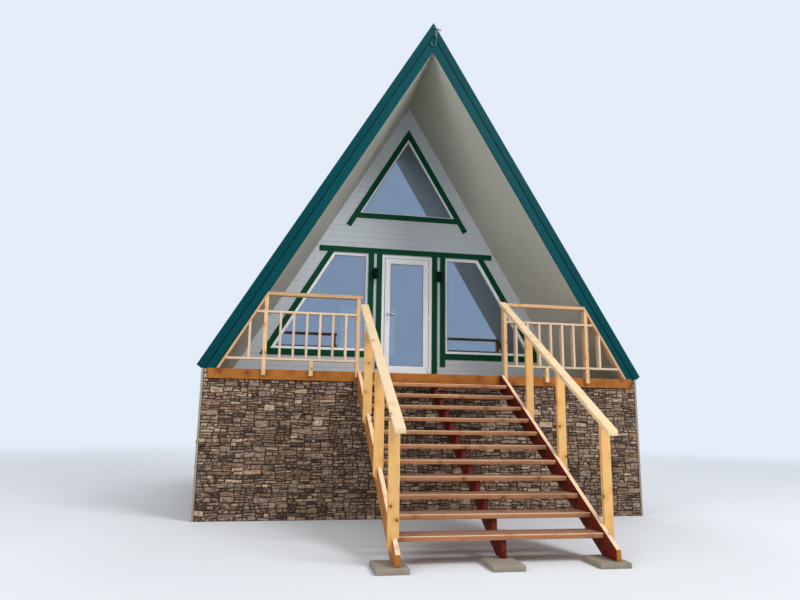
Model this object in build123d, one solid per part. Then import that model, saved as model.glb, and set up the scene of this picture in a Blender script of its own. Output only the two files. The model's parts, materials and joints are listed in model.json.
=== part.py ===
from build123d import *
import math
import os

# An A-frame cabin on a raised, clad base, with a covered deck under its front gable and a wooden stair
# up to it. Millimetres, +Z up. Seen from the front, +X is to the right and +Y runs into the cabin.
# The origin is on the ground, midway between the sides and midway between the stair's pads and the back.

# Roof
roof_half_width = 3090
ridge_height = 7187
eave_above_deck = 40
roof_length = 7000
verge_depth = 238
verge_fold = 110
verge_thick = 33
verge_step = 8
eave_cut = 55
sheet_drop = 8
sheet_thick = 22
lining_thick = 18
ridge_cap_wing = 160

# Deck platform and base
deck_height = 1885
platform_past_lining = 109
board_thick = 30
frame_thick = 100
fascia_thick = 25
fascia_proud = 13
base_overhang = 67
base_thick = 100
base_setback = 15

# Gable walls
deck_depth = 1845
back_overhang = 300
wall_thick = 150
loft_underside = 2385
loft_thickness = 175

# Openings, with heights above the deck
head_height = 2125
sill_height = 486
window_edge_depth = 536
gable_sill_height = 2837
back_window_half_width = 700
back_window_sill = 900
frame_face = 48
gable_frame_face = 30
frame_deep = 70
frame_setback = 15
glass_thick = 24

# Door
door_opening_half = 430
door_frame_face = 50
door_frame_setback = 10
threshold = 25
door_gap = 9
door_gap_z = 6
leaf_thick = 60
leaf_stile = 93
leaf_bottom_rail = 230
hinge_radius = 8
hinge_offset = 12
knuckle_length = 45
knuckle_gap = 0.3
hinge_plate_width = 28
hinge_inset = 170
handle_height = 1115
handle_plate_width = 32
handle_plate_thick = 8
handle_plate_above = 70
handle_plate_below = 160
handle_reach = 45
handle_neck_radius = 9
lever_length = 125
lever_thick = 12
lever_height = 20

# Trim boards on the front wall
trim_thick = 18
trim_width = 90
trim_gap = 50
header_end_gap = 44
header_height = 91
header_lift = 10
outer_trim_foot = 261
sill_trim_height = 100
gable_trim_tail = 167
lamp_radius = 40
lamp_height = 170
lamp_standoff = 20
lamp_arm_width = 40
lamp_centre = 1780

# Deck railing
rail_post_x = 1035
outer_post_past_slope = 20
rail_overhang = 25
post_width = 50
post_depth = 100
post_lap_depth = 50
post_lap = 76
rail_top = 1021
rail_top_thick = 45
rail_mid_top = 770
rail_low_top = 149
rail_thin = 28
rail_depth = 90
baluster_width = 30
baluster_first_gap = 162
baluster_pitch = 172
baluster_outer_gap = 198
batten_thick = 30

# Stair
risers_below_deck = 11
first_step_height = 257
going = 250
tread_thick = 45
tread_depth = 270
top_nose = 310
stair_inner_half = 955
stringer_thick = 45
stringer_depth = 220
stringer_lift = 20
stringer_past_nose = 215
carriage_thick = 50
carriage_depth = 90
carriage_setback = 30
left_stringer_out = 30
pad_thick = 50
pad_width = 290
pad_past_stringer = 45
pad_length = 370
pad_shift = -50
stair_post_width = 90
stair_post_thick = 50
top_post_step = 9
top_post_lead = 60
middle_post_step = 5
middle_post_lead = -40
newel_lead = -80
left_post_width = 100
left_post_lap = 40
left_post_foot = 120
left_top_post_step = 8
left_top_post_lead = 36
left_middle_post_step = 4
left_middle_post_lead = 126
left_newel_lead = 24
left_handrail_short = 305
handrail_width = 100
handrail_thick = 42
handrail_above = 1015
handrail_setback = 30
handrail_x = 995

# Worked out from the sizes above
eave_height = deck_height + eave_above_deck
pitch = math.atan2(ridge_height - eave_height, roof_half_width)
riser = (deck_height - first_step_height) / risers_below_deck
stringer_reach = top_nose + (risers_below_deck - 1) * going + stringer_past_nose
pad_front = stringer_reach + pad_past_stringer
pad_back = pad_front - pad_length
front_y = (pad_front - roof_length - fascia_proud) / 2
back_y = front_y + roof_length
wall_y = front_y + deck_depth
back_wall_y = back_y - back_overhang
fascia_y = front_y - fascia_proud
fascia_back_y = back_y + fascia_proud
fascia_height = board_thick + frame_thick
head_z = deck_height + head_height
sill_z = deck_height + sill_height
gable_sill_z = deck_height + gable_sill_height
slope = math.atan2(riser, going)
outer_trim_x = door_opening_half + trim_width + trim_gap
window_inner_x = outer_trim_x + trim_width
batten_depth = verge_depth + batten_thick
rail_z = deck_height + rail_top


def slope_x(depth, z):
    """How far from the middle the roof surface at this depth lies at height z."""
    return (ridge_height - depth / math.cos(pitch) - z) / math.tan(pitch)


def slope_top(depth):
    """Height of the ridge line of the roof surface at this depth."""
    return ridge_height - depth / math.cos(pitch)


def slope_height(depth, x):
    """Height of the roof surface at this depth, at a distance x from the middle."""
    return ridge_height - depth / math.cos(pitch) - x * math.tan(pitch)


platform_half_width = slope_x(verge_depth, deck_height) + platform_past_lining
base_half_width = platform_half_width + base_overhang
rail_outer_post_x = slope_x(batten_depth, rail_z - rail_top_thick) + outer_post_past_slope


def box(x0, x1, y0, y1, z0, z1):
    """A block between the two values given for each axis."""
    size = (abs(x1 - x0), abs(y1 - y0), abs(z1 - z0))
    return Pos((x0 + x1) / 2, (y0 + y1) / 2, (z0 + z1) / 2) * Box(*size)


def front_plate(points, y0, y1):
    """A plate whose outline is drawn looking along +Y, as (x, z) points."""
    outline = Polyline(*[(x, y0, z) for x, z in points], close=True)
    return extrude(make_face(outline), amount=y1 - y0, dir=(0, 1, 0))


def side_plate(points, x0, x1):
    """A plate whose outline is drawn looking along X, as (y, z) points."""
    outline = Polyline(*[(x0, y, z) for y, z in points], close=True)
    return extrude(make_face(outline), amount=x1 - x0, dir=(1, 0, 0))


def mirrored(points):
    return [(-a, b) for a, b in points]


def sided(points, side):
    """The outline on the right for side 1, and its mirror image for side -1."""
    return points if side > 0 else mirrored(points)


def roof_layer(side, top, bottom, foot_z, y0, y1):
    """One slope of the roof between two depths under its outer surface."""
    points = [
        (0, slope_top(top)),
        (slope_x(top, foot_z), foot_z),
        (slope_x(bottom, foot_z), foot_z),
        (0, slope_top(bottom)),
    ]
    return front_plate(sided(points, side), y0, y1)


def verge(side, outer_face_y, inward):
    """A gable's edge board: the outer band stands a step proud of the inner one."""
    foot = deck_height
    corner = (roof_half_width, eave_height)
    outer_band = [
        (0, ridge_height),
        corner,
        (roof_half_width - eave_cut, foot),
        (slope_x(verge_fold, foot), foot),
        (0, slope_top(verge_fold)),
    ]
    inner_band = [
        (0, slope_top(verge_fold)),
        (slope_x(verge_fold, foot), foot),
        (slope_x(verge_depth, foot), foot),
        (0, slope_top(verge_depth)),
    ]
    stepped_y = outer_face_y + inward * verge_step
    inner_y = outer_face_y + inward * verge_thick
    outer = front_plate(sided(outer_band, side), outer_face_y, inner_y)
    inner = front_plate(sided(inner_band, side), stepped_y, inner_y)
    return outer + inner


def add_roof(nodes):
    y0 = front_y + verge_thick
    y1 = back_y - verge_thick
    sheet_under = sheet_drop + sheet_thick
    lining_over = verge_depth - lining_thick
    eave_corner = [
        (roof_half_width, eave_height),
        (roof_half_width - eave_cut, deck_height),
        (roof_half_width, deck_height),
    ]
    for name, side in (("left", -1), ("right", 1)):
        slab = roof_layer(side, sheet_under, lining_over, deck_height, y0, y1)
        nodes["roof_slope_" + name] = slab - front_plate(sided(eave_corner, side), y0, y1)
        nodes["roof_sheet_" + name] = roof_layer(side, sheet_drop, sheet_under, eave_height, y0, y1)
        nodes["roof_lining_" + name] = roof_layer(side, lining_over, verge_depth, deck_height, y0, y1)
        nodes["verge_front_" + name] = verge(side, front_y, 1)
        nodes["verge_back_" + name] = verge(side, back_y, -1)
    wing = ridge_cap_wing * math.sin(pitch)
    cap_foot = ridge_height - wing
    cap = [
        (0, ridge_height),
        (slope_x(0, cap_foot), cap_foot),
        (slope_x(sheet_drop, cap_foot), cap_foot),
        (0, slope_top(sheet_drop)),
        (-slope_x(sheet_drop, cap_foot), cap_foot),
        (-slope_x(0, cap_foot), cap_foot),
    ]
    nodes["ridge_cap"] = front_plate(cap, y0, y1)


def add_base(nodes):
    """The clad walls under the platform, down to the ground."""
    top = deck_height - fascia_height
    x = base_half_width
    y0 = front_y + base_setback
    y1 = back_y - base_setback
    nodes["base_wall_front"] = box(-x, x, y0, y0 + base_thick, 0, top)
    nodes["base_wall_back"] = box(-x, x, y1 - base_thick, y1, 0, top)
    for name, side in (("left", -1), ("right", 1)):
        outer = side * x
        inner = side * (x - base_thick)
        nodes["base_wall_" + name] = box(outer, inner, y0 + base_thick, y1 - base_thick, 0, top)


def add_platform(nodes):
    x = platform_half_width
    low = deck_height - fascia_height
    boards_under = deck_height - board_thick
    y0 = fascia_y + fascia_thick
    y1 = fascia_back_y - fascia_thick
    inner_x = x - fascia_thick
    nodes["floor_frame"] = box(-inner_x, inner_x, y0, y1, low, boards_under)
    nodes["floor_boards"] = box(-inner_x, inner_x, y0, y1, boards_under, deck_height)
    nodes["fascia_front"] = box(-x, x, fascia_y, y0, low, deck_height)
    nodes["fascia_back"] = box(-x, x, y1, fascia_back_y, low, deck_height)
    for name, side in (("left", -1), ("right", 1)):
        nodes["fascia_" + name] = box(side * x, side * inner_x, y0, y1, low, deck_height)


def window_outline(inset):
    """The right-hand window beside the door, whose outer edge follows the roof."""
    x = window_inner_x + inset
    low = sill_z + inset
    high = head_z - inset
    depth = window_edge_depth + inset
    return [(x, low), (slope_x(depth, low), low), (slope_x(depth, high), high), (x, high)]


def gable_outline(inset):
    """The three-sided window under the ridge."""
    low = gable_sill_z + inset
    depth = window_edge_depth + inset
    return [(-slope_x(depth, low), low), (slope_x(depth, low), low), (0, slope_top(depth))]


def back_window_outline(inset):
    x = back_window_half_width - inset
    low = deck_height + back_window_sill + inset
    high = head_z - inset
    return [(-x, low), (x, low), (x, high), (-x, high)]


def window_frame(outline, y0, face):
    outer = front_plate(outline(0), y0, y0 + frame_deep)
    return outer - front_plate(outline(face), y0, y0 + frame_deep)


def window_pane(outline, y0, face):
    middle = y0 + frame_deep / 2
    return front_plate(outline(face), middle - glass_thick / 2, middle + glass_thick / 2)


def flip(solid):
    return mirror(solid, about=Plane.YZ)


def add_front_wall(nodes):
    y1 = wall_y + wall_thick
    low = deck_height
    beside = [
        (door_opening_half, low),
        (slope_x(verge_depth, low), low),
        (slope_x(verge_depth, head_z), head_z),
        (door_opening_half, head_z),
    ]
    right = front_plate(beside, wall_y, y1) - front_plate(window_outline(0), wall_y, y1)
    nodes["front_wall_right"] = right
    nodes["front_wall_left"] = flip(right)
    half = slope_x(verge_depth, head_z)
    gable = [(-half, head_z), (half, head_z), (0, slope_top(verge_depth))]
    nodes["front_wall_gable"] = (
        front_plate(gable, wall_y, y1) - front_plate(gable_outline(0), wall_y, y1)
    )


def add_back_wall(nodes):
    y0 = back_wall_y - wall_thick
    half = slope_x(verge_depth, deck_height)
    whole = [(-half, deck_height), (half, deck_height), (0, slope_top(verge_depth))]
    wall = front_plate(whole, y0, back_wall_y)
    wall -= front_plate(gable_outline(0), y0, back_wall_y)
    wall -= front_plate(back_window_outline(0), y0, back_wall_y)
    nodes["back_wall"] = wall


def add_windows(nodes):
    y0 = wall_y + frame_setback
    right_frame = window_frame(window_outline, y0, frame_face)
    right_pane = window_pane(window_outline, y0, frame_face)
    nodes["window_frame_right"] = right_frame
    nodes["window_frame_left"] = flip(right_frame)
    nodes["window_frame_gable"] = window_frame(gable_outline, y0, gable_frame_face)
    gable_pane = window_pane(gable_outline, y0, gable_frame_face)
    nodes["front_panes"] = Compound(children=[right_pane, flip(right_pane), gable_pane])
    back = back_wall_y - frame_setback - frame_deep
    low_frame = window_frame(back_window_outline, back, frame_face)
    high_frame = window_frame(gable_outline, back, gable_frame_face)
    nodes["back_window_frames"] = Compound(children=[low_frame, high_frame])
    low_pane = window_pane(back_window_outline, back, frame_face)
    high_pane = window_pane(gable_outline, back, gable_frame_face)
    nodes["back_panes"] = Compound(children=[low_pane, high_pane])


def add_loft(nodes):
    """The floor between the room and the loft behind the upper window."""
    low = deck_height + loft_underside
    high = low + loft_thickness
    wide = slope_x(verge_depth, low)
    narrow = slope_x(verge_depth, high)
    points = [(-wide, low), (wide, low), (narrow, high), (-narrow, high)]
    nodes["loft_floor"] = front_plate(points, wall_y + wall_thick, back_wall_y - wall_thick)


# Door frame, leaf and its hinges
frame_inner_half = door_opening_half - door_frame_face
leaf_half = frame_inner_half - door_gap
leaf_low = deck_height + threshold + door_gap_z
leaf_high = head_z - door_frame_face - door_gap_z
leaf_face_y = wall_y + door_frame_setback
hinge_x = frame_inner_half - door_gap / 2
hinge_y = leaf_face_y - hinge_offset
hinge_heights = (leaf_low + hinge_inset, (leaf_low + leaf_high) / 2, leaf_high - hinge_inset)


def knuckle(side, low):
    """Half a hinge: a barrel on the axis and the block that joins it to its face."""
    barrel = Pos(hinge_x, hinge_y, low + knuckle_length / 2) * Cylinder(hinge_radius, knuckle_length)
    edge = hinge_x + side * hinge_plate_width
    block = box(hinge_x, edge, hinge_y, leaf_face_y, low, low + knuckle_length)
    return barrel + block


def add_door(nodes):
    y1 = leaf_face_y + frame_deep
    frame = box(-door_opening_half, door_opening_half, leaf_face_y, y1, deck_height, head_z)
    frame -= box(
        -frame_inner_half,
        frame_inner_half,
        leaf_face_y,
        y1,
        deck_height + threshold,
        head_z - door_frame_face,
    )
    leaf = box(-leaf_half, leaf_half, leaf_face_y, leaf_face_y + leaf_thick, leaf_low, leaf_high)
    glass_half = leaf_half - leaf_stile
    glass_low = leaf_low + leaf_bottom_rail
    glass_high = leaf_high - leaf_stile
    leaf -= box(
        -glass_half, glass_half, leaf_face_y, leaf_face_y + leaf_thick, glass_low, glass_high
    )
    for height in hinge_heights:
        frame += knuckle(1, height - knuckle_gap / 2 - knuckle_length)
        leaf += knuckle(-1, height + knuckle_gap / 2)
    nodes["door_frame"] = frame
    nodes["door_leaf"] = leaf
    middle = leaf_face_y + leaf_thick / 2
    nodes["door_pane"] = box(
        -glass_half,
        glass_half,
        middle - glass_thick / 2,
        middle + glass_thick / 2,
        glass_low,
        glass_high,
    )
    nodes["door_handles"] = Compound(
        children=[door_handle(leaf_face_y, -1), door_handle(leaf_face_y + leaf_thick, 1)]
    )


def door_handle(face_y, outward):
    """Plate, neck and lever on one face of the leaf."""
    x = -(leaf_half - leaf_stile / 2)
    z = deck_height + handle_height
    half = handle_plate_width / 2
    plate_y = face_y + outward * handle_plate_thick
    plate = box(x - half, x + half, face_y, plate_y, z - handle_plate_below, z + handle_plate_above)
    neck_y = face_y + outward * handle_reach / 2
    neck = Pos(x, neck_y, z) * Rot(90, 0, 0) * Cylinder(handle_neck_radius, handle_reach)
    half = lever_height / 2
    lever_y = face_y + outward * handle_reach
    inner_y = lever_y - outward * lever_thick
    lever = box(x - half, x - half + lever_length, lever_y, inner_y, z - half, z + half)
    return plate + neck + lever


def add_front_trims(nodes):
    y0 = wall_y - trim_thick
    header_low = head_z + header_lift
    header_high = header_low + header_height
    length = slope_x(verge_depth, header_high) - header_end_gap
    nodes["trim_header"] = box(-length, length, y0, wall_y, header_low, header_high)
    boards = []
    outer_foot = deck_height + outer_trim_foot
    for side in (-1, 1):
        inner = side * door_opening_half
        edge = side * (door_opening_half + trim_width)
        boards.append(box(inner, edge, y0, wall_y, deck_height, header_low))
        inner = side * outer_trim_x
        edge = side * window_inner_x
        boards.append(box(inner, edge, y0, wall_y, outer_foot, header_low))
    nodes["trim_door_boards"] = Compound(children=boards)
    low = sill_z - sill_trim_height
    outer_depth = window_edge_depth - trim_width
    sill_board = [
        (window_inner_x, low),
        (slope_x(outer_depth, low), low),
        (slope_x(outer_depth, header_low), header_low),
        (slope_x(window_edge_depth, header_low), header_low),
        (slope_x(window_edge_depth, sill_z), sill_z),
        (window_inner_x, sill_z),
    ]
    right = front_plate(sill_board, y0, wall_y)
    nodes["trim_window_right"] = right
    nodes["trim_window_left"] = flip(right)
    nodes["trim_gable_window"] = gable_trim(y0, wall_y)


def add_back_trims(nodes):
    """The back windows' boards: those under the ridge as at the front, and a plain surround."""
    y1 = back_wall_y + trim_thick
    hole = back_window_outline(0)
    surround = front_plate(back_window_outline(-trim_width), back_wall_y, y1)
    surround -= front_plate(hole, back_wall_y, y1)
    nodes["trim_back_windows"] = Compound(children=[surround, gable_trim(back_wall_y, y1)])


def gable_trim(y0, y1):
    """Two boards up the slopes, running on past the board under the window to square ends."""
    inner = window_edge_depth
    outer = inner - trim_width
    low = gable_sill_z - trim_width
    end_z = low - gable_trim_tail
    end_x = slope_x(inner, end_z)
    square_end = (end_x + trim_width * math.sin(pitch), end_z + trim_width * math.cos(pitch))
    leg = [(0, slope_top(outer)), square_end, (end_x, end_z), (0, slope_top(inner))]
    board = [
        (-slope_x(inner, low), low),
        (slope_x(inner, low), low),
        (slope_x(inner, gable_sill_z), gable_sill_z),
        (-slope_x(inner, gable_sill_z), gable_sill_z),
    ]
    legs = front_plate(leg, y0, y1) + front_plate(mirrored(leg), y0, y1)
    return legs + front_plate(board, y0, y1)


def add_lamps(nodes):
    """Two up-and-down wall lamps over the gaps between the door boards."""
    body_y = wall_y - trim_thick - lamp_standoff - lamp_radius
    z = deck_height + lamp_centre
    half = lamp_arm_width / 2
    lamps = []
    for side in (-1, 1):
        x = side * (outer_trim_x - trim_gap / 2)
        arm = box(x - half, x + half, body_y, wall_y, z - lamp_radius, z + lamp_radius)
        body = Pos(x, body_y, z) * Cylinder(lamp_radius, lamp_height)
        lamps.append(arm + body)
    nodes["wall_lamps"] = Compound(children=lamps)


def railing():
    """The right-hand deck railing, fused into one panel."""
    front = fascia_y - post_lap_depth
    back = front + post_depth
    rail_back = front + rail_depth
    deck = deck_height
    top = rail_z
    panel = None
    posts = (
        (rail_post_x, top - rail_top_thick),
        (rail_outer_post_x, top - rail_top_thick),
        ((rail_post_x + rail_outer_post_x) / 2, deck + rail_low_top - rail_thin),
    )
    for x, post_top in posts:
        left = x - post_width / 2
        right = x + post_width / 2
        above = box(left, right, front, back, deck, post_top)
        lap = box(left, right, front, fascia_y, deck - post_lap, deck)
        post = above + lap
        panel = post if panel is None else panel + post
    rails = (
        (rail_top, rail_top_thick, rail_overhang),
        (rail_mid_top, rail_thin, 0),
        (rail_low_top, rail_thin, 0),
    )
    for high, thick, past_post in rails:
        inner = rail_post_x - post_width / 2 - past_post
        z1 = deck + high
        z0 = z1 - thick
        points = [
            (inner, z0),
            (slope_x(batten_depth, z0), z0),
            (slope_x(batten_depth, z1), z1),
            (inner, z1),
        ]
        panel += front_plate(points, front, rail_back)
    first = rail_post_x + baluster_first_gap
    room = rail_outer_post_x - post_width - first
    count = int(room // baluster_pitch) + 1
    places = [first + i * baluster_pitch for i in range(count)]
    low = deck + rail_low_top - rail_thin
    for x in places + [rail_outer_post_x + baluster_outer_gap]:
        high = min(deck + rail_mid_top, slope_height(batten_depth, x))
        panel += box(x - baluster_width / 2, x + baluster_width / 2, front, rail_back, low, high)
    beyond_batten = front_plate(
        [
            (slope_x(batten_depth, deck), deck),
            (roof_half_width, deck),
            (roof_half_width, top),
            (slope_x(batten_depth, top), top),
        ],
        front,
        back,
    )
    batten = front_plate(
        [
            (slope_x(verge_depth, deck), deck),
            (slope_x(verge_depth, top), top),
            (slope_x(batten_depth, top), top),
            (slope_x(batten_depth, deck), deck),
        ],
        front_y,
        back,
    )
    return (panel - beyond_batten) + batten


def add_railings(nodes):
    right = railing()
    nodes["railing_right"] = right
    nodes["railing_left"] = flip(right)


def nose_y(step):
    """Front edge of tread number step, counted from 1 at the bottom."""
    return front_y - top_nose - (risers_below_deck - step) * going


def tread_z(step):
    """Top of tread number step."""
    return deck_height - (risers_below_deck + 1 - step) * riser


def stringer_top(y):
    """Height of the upper edge of the side stringers."""
    top_tread = risers_below_deck
    return tread_z(top_tread) + stringer_lift + (y - nose_y(top_tread)) * math.tan(slope)


def stringer():
    """A side board: plumb at its foot and at the fascia, level at the pad and at the deck."""
    y_foot = front_y - stringer_reach
    drop = stringer_depth / math.cos(slope)
    y_deck = y_foot + (deck_height - stringer_top(y_foot)) / math.tan(slope)
    y_heel = y_foot + (pad_thick - stringer_top(y_foot) + drop) / math.tan(slope)
    points = [
        (y_foot, pad_thick),
        (y_foot, stringer_top(y_foot)),
        (y_deck, deck_height),
        (fascia_y, deck_height),
        (fascia_y, stringer_top(fascia_y) - drop),
        (y_heel, pad_thick),
    ]
    return side_plate(points, stair_inner_half, stair_inner_half + stringer_thick)


def railing_post_seat():
    """Where the foot of the left railing's inner post laps over the stringer's top end."""
    left = -rail_post_x - post_width / 2
    front = fascia_y - post_lap_depth
    return box(left, left + post_width, front, fascia_y, deck_height - post_lap, deck_height)


def carriage():
    """The notched board under the middle of the treads."""
    points = []
    for step in range(1, risers_below_deck + 1):
        under = tread_z(step) - tread_thick
        y = nose_y(step) + carriage_setback
        if step == 1:
            points.append((y, pad_thick))
        points.append((y, under))
        points.append((min(y + going, fascia_y), under))
    last_under = tread_z(risers_below_deck) - tread_thick
    points[-1] = (fascia_y, last_under)
    throat = carriage_depth / math.cos(slope)
    y_first = nose_y(1) + carriage_setback + going
    under_first = tread_z(1) - tread_thick
    points.append((fascia_y, under_first - throat + (fascia_y - y_first) * math.tan(slope)))
    points.append((y_first + (pad_thick - under_first + throat) / math.tan(slope), pad_thick))
    half = carriage_thick / 2
    return side_plate(points, -half, half)


def add_stair(nodes):
    right = stringer()
    nodes["stringer_right"] = right
    nodes["stringer_left"] = Pos(-left_stringer_out, 0, 0) * flip(right) - railing_post_seat()
    nodes["stair_carriage"] = carriage()
    treads = []
    for step in range(1, risers_below_deck + 1):
        y = nose_y(step)
        z = tread_z(step)
        left_end = -stair_inner_half - left_stringer_out
        treads.append(box(left_end, stair_inner_half, y, y + tread_depth, z - tread_thick, z))
    nodes["stair_treads"] = Compound(children=treads)
    pads = []
    middle = stair_inner_half + stringer_thick / 2
    for x in (-middle - left_stringer_out, 0, middle):
        left = x + pad_shift - pad_width / 2
        y0 = front_y - pad_front
        y1 = front_y - pad_back
        pads.append(box(left, left + pad_width, y0, y1, 0, pad_thick))
    nodes["stair_pads"] = Compound(children=pads)


def handrail_top(y):
    """Height of the handrail's upper face."""
    return stringer_top(y) + handrail_above


def handrail_under(y):
    return handrail_top(y) - handrail_thick / math.cos(slope)


def plain_post(y0, y1):
    """A post on the outer face of the right stringer."""
    outer = stair_inner_half + stringer_thick
    stringer_drop = stringer_depth / math.cos(slope)
    points = [
        (y0, max(stringer_top(y0) - stringer_drop, pad_thick)),
        (y0, handrail_under(y0)),
        (y1, handrail_under(y1)),
        (y1, max(stringer_top(y1) - stringer_drop, pad_thick)),
    ]
    return side_plate(points, outer, outer + stair_post_width)


def lapped_post(y0, y1):
    """A post that stands on the left stringer and laps over its outer face."""
    stringer_face = -stair_inner_half - left_stringer_out - stringer_thick
    left = stringer_face - left_post_lap
    foot = stringer_top(y0) - left_post_foot
    head = [(y1, handrail_under(y1)), (y0, handrail_under(y0))]
    seat = [(y0, stringer_top(y0)), (y1, stringer_top(y1))]
    seated = side_plate(seat + head, stringer_face, left + left_post_width)
    lap = side_plate([(y0, foot), (y1, foot)] + head, left, stringer_face)
    corner = front_plate([(left, foot), (stringer_face, foot), (left, foot + left_post_lap)], y0, y1)
    return seated + lap - corner


def handrail(y_high):
    """The right handrail, up to a plumb end."""
    y_low = front_y - stringer_reach + handrail_setback
    points = [
        (y_low, handrail_top(y_low)),
        (y_high, handrail_top(y_high)),
        (y_high, handrail_under(y_high)),
        (y_low, handrail_under(y_low)),
    ]
    half = handrail_width / 2
    return side_plate(points, handrail_x - half, handrail_x + half)


def add_stair_rails(nodes):
    """Three posts a side, and a flat handrail on top of them."""
    right_places = (
        nose_y(top_post_step) - top_post_lead,
        nose_y(middle_post_step) - middle_post_lead,
        nose_y(1) - newel_lead,
    )
    left_places = (
        nose_y(left_top_post_step) + left_top_post_lead,
        nose_y(left_middle_post_step) + left_middle_post_lead,
        nose_y(1) - left_newel_lead,
    )
    for name, places, post in (("right", right_places, plain_post), ("left", left_places, lapped_post)):
        posts = [post(y - stair_post_thick / 2, y + stair_post_thick / 2) for y in places]
        nodes["stair_posts_" + name] = Compound(children=posts)
    rail_end = fascia_y - post_lap_depth
    nodes["handrail_right"] = handrail(rail_end)
    nodes["handrail_left"] = flip(handrail(rail_end - left_handrail_short))


def build():
    nodes = {}
    add_base(nodes)
    add_platform(nodes)
    add_roof(nodes)
    add_front_wall(nodes)
    add_back_wall(nodes)
    add_loft(nodes)
    add_windows(nodes)
    add_door(nodes)
    add_front_trims(nodes)
    add_back_trims(nodes)
    add_lamps(nodes)
    add_railings(nodes)
    add_stair(nodes)
    add_stair_rails(nodes)
    return nodes


def main():
    os.makedirs("parts", exist_ok=True)
    for name, solid in build().items():
        export_step(solid, "parts/" + name + ".step")


main()
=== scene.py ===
import json
import math
import random

import bmesh
import bpy
from bpy.props import FloatProperty, FloatVectorProperty, PointerProperty
from mathutils import Matrix, Vector, noise


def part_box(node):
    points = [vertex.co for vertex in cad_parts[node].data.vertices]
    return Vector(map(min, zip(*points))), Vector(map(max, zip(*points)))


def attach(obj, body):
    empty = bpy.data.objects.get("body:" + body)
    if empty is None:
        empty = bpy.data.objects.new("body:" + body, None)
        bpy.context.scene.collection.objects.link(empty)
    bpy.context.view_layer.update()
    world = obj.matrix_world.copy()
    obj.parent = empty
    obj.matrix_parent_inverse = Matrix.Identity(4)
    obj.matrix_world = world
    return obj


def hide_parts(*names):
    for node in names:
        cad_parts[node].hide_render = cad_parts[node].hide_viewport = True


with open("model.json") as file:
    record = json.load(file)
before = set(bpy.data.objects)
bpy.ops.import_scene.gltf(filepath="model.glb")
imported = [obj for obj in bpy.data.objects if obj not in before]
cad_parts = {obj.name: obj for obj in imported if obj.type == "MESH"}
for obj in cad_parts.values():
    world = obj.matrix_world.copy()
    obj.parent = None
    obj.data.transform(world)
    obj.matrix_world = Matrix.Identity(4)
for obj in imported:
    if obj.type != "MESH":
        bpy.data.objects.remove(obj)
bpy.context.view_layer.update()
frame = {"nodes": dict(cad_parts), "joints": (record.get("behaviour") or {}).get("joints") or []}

bl_info = {
    "name": "A-frame cabin",
    "version": (1, 0, 0),
    "blender": (4, 5, 0),
    "location": "View3D > Sidebar > Cabin",
    "description": "Dresses the solids of an A-frame cabin with its boards, stones, metal and glass",
    "category": "Add Mesh",
}

NODES = frame["nodes"]

# Main places of the cabin, in metres, read from its solids
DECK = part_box("floor_boards")[1].z
ROOF_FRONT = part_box("verge_front_right")[0].y
ROOF_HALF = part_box("verge_front_right")[1].x
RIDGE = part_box("verge_front_right")[1].z
SHEET_LOW, SHEET_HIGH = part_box("roof_sheet_right")
PITCH = math.atan2(RIDGE - SHEET_LOW.z, ROOF_HALF)
SLOPE_LONG = ROOF_HALF / math.cos(PITCH)
SHEET_DEPTH = (RIDGE - SHEET_HIGH.z) * math.cos(PITCH)
LINING_DEPTH = (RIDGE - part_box("front_wall_gable")[1].z) * math.cos(PITCH)
CAP_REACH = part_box("ridge_cap")[1].x / math.cos(PITCH)
FASCIA_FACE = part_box("fascia_front")[0].y
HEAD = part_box("front_wall_right")[1].z
HINGE = Vector(frame["joints"][0]["pos_m"])
HINGE_OUT = 0.012
LEAF_FACE = HINGE.y + HINGE_OUT
VERGE_FOLD = 0.11

RIGHT, BACK, UP = Vector((1, 0, 0)), Vector((0, 1, 0)), Vector((0, 0, 1))
SLOPE_DOWN = Vector((math.cos(PITCH), 0, -math.sin(PITCH)))
SLOPE_OUT = Vector((math.sin(PITCH), 0, math.cos(PITCH)))
SIDES = (("left", -1), ("right", 1))

MERGE = 0.0001
FLAT = math.radians(0.5)
SMOOTH_BELOW = math.radians(26)
SOFTEN_ABOVE = math.radians(35)


def linear(level):
    """One channel of a paint chart's colour, from 0 to 255, as light."""
    value = level / 255
    return value / 12.92 if value <= 0.04045 else ((value + 0.055) / 1.055) ** 2.4


def size(name, description, default):
    return FloatProperty(name=name, description=description, default=default, min=0, unit="LENGTH")


def colour(name, description, *levels):
    default = [linear(level) for level in levels]
    return FloatVectorProperty(
        name=name, description=description, default=default, size=3, min=0, max=1, subtype="COLOR"
    )


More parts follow.
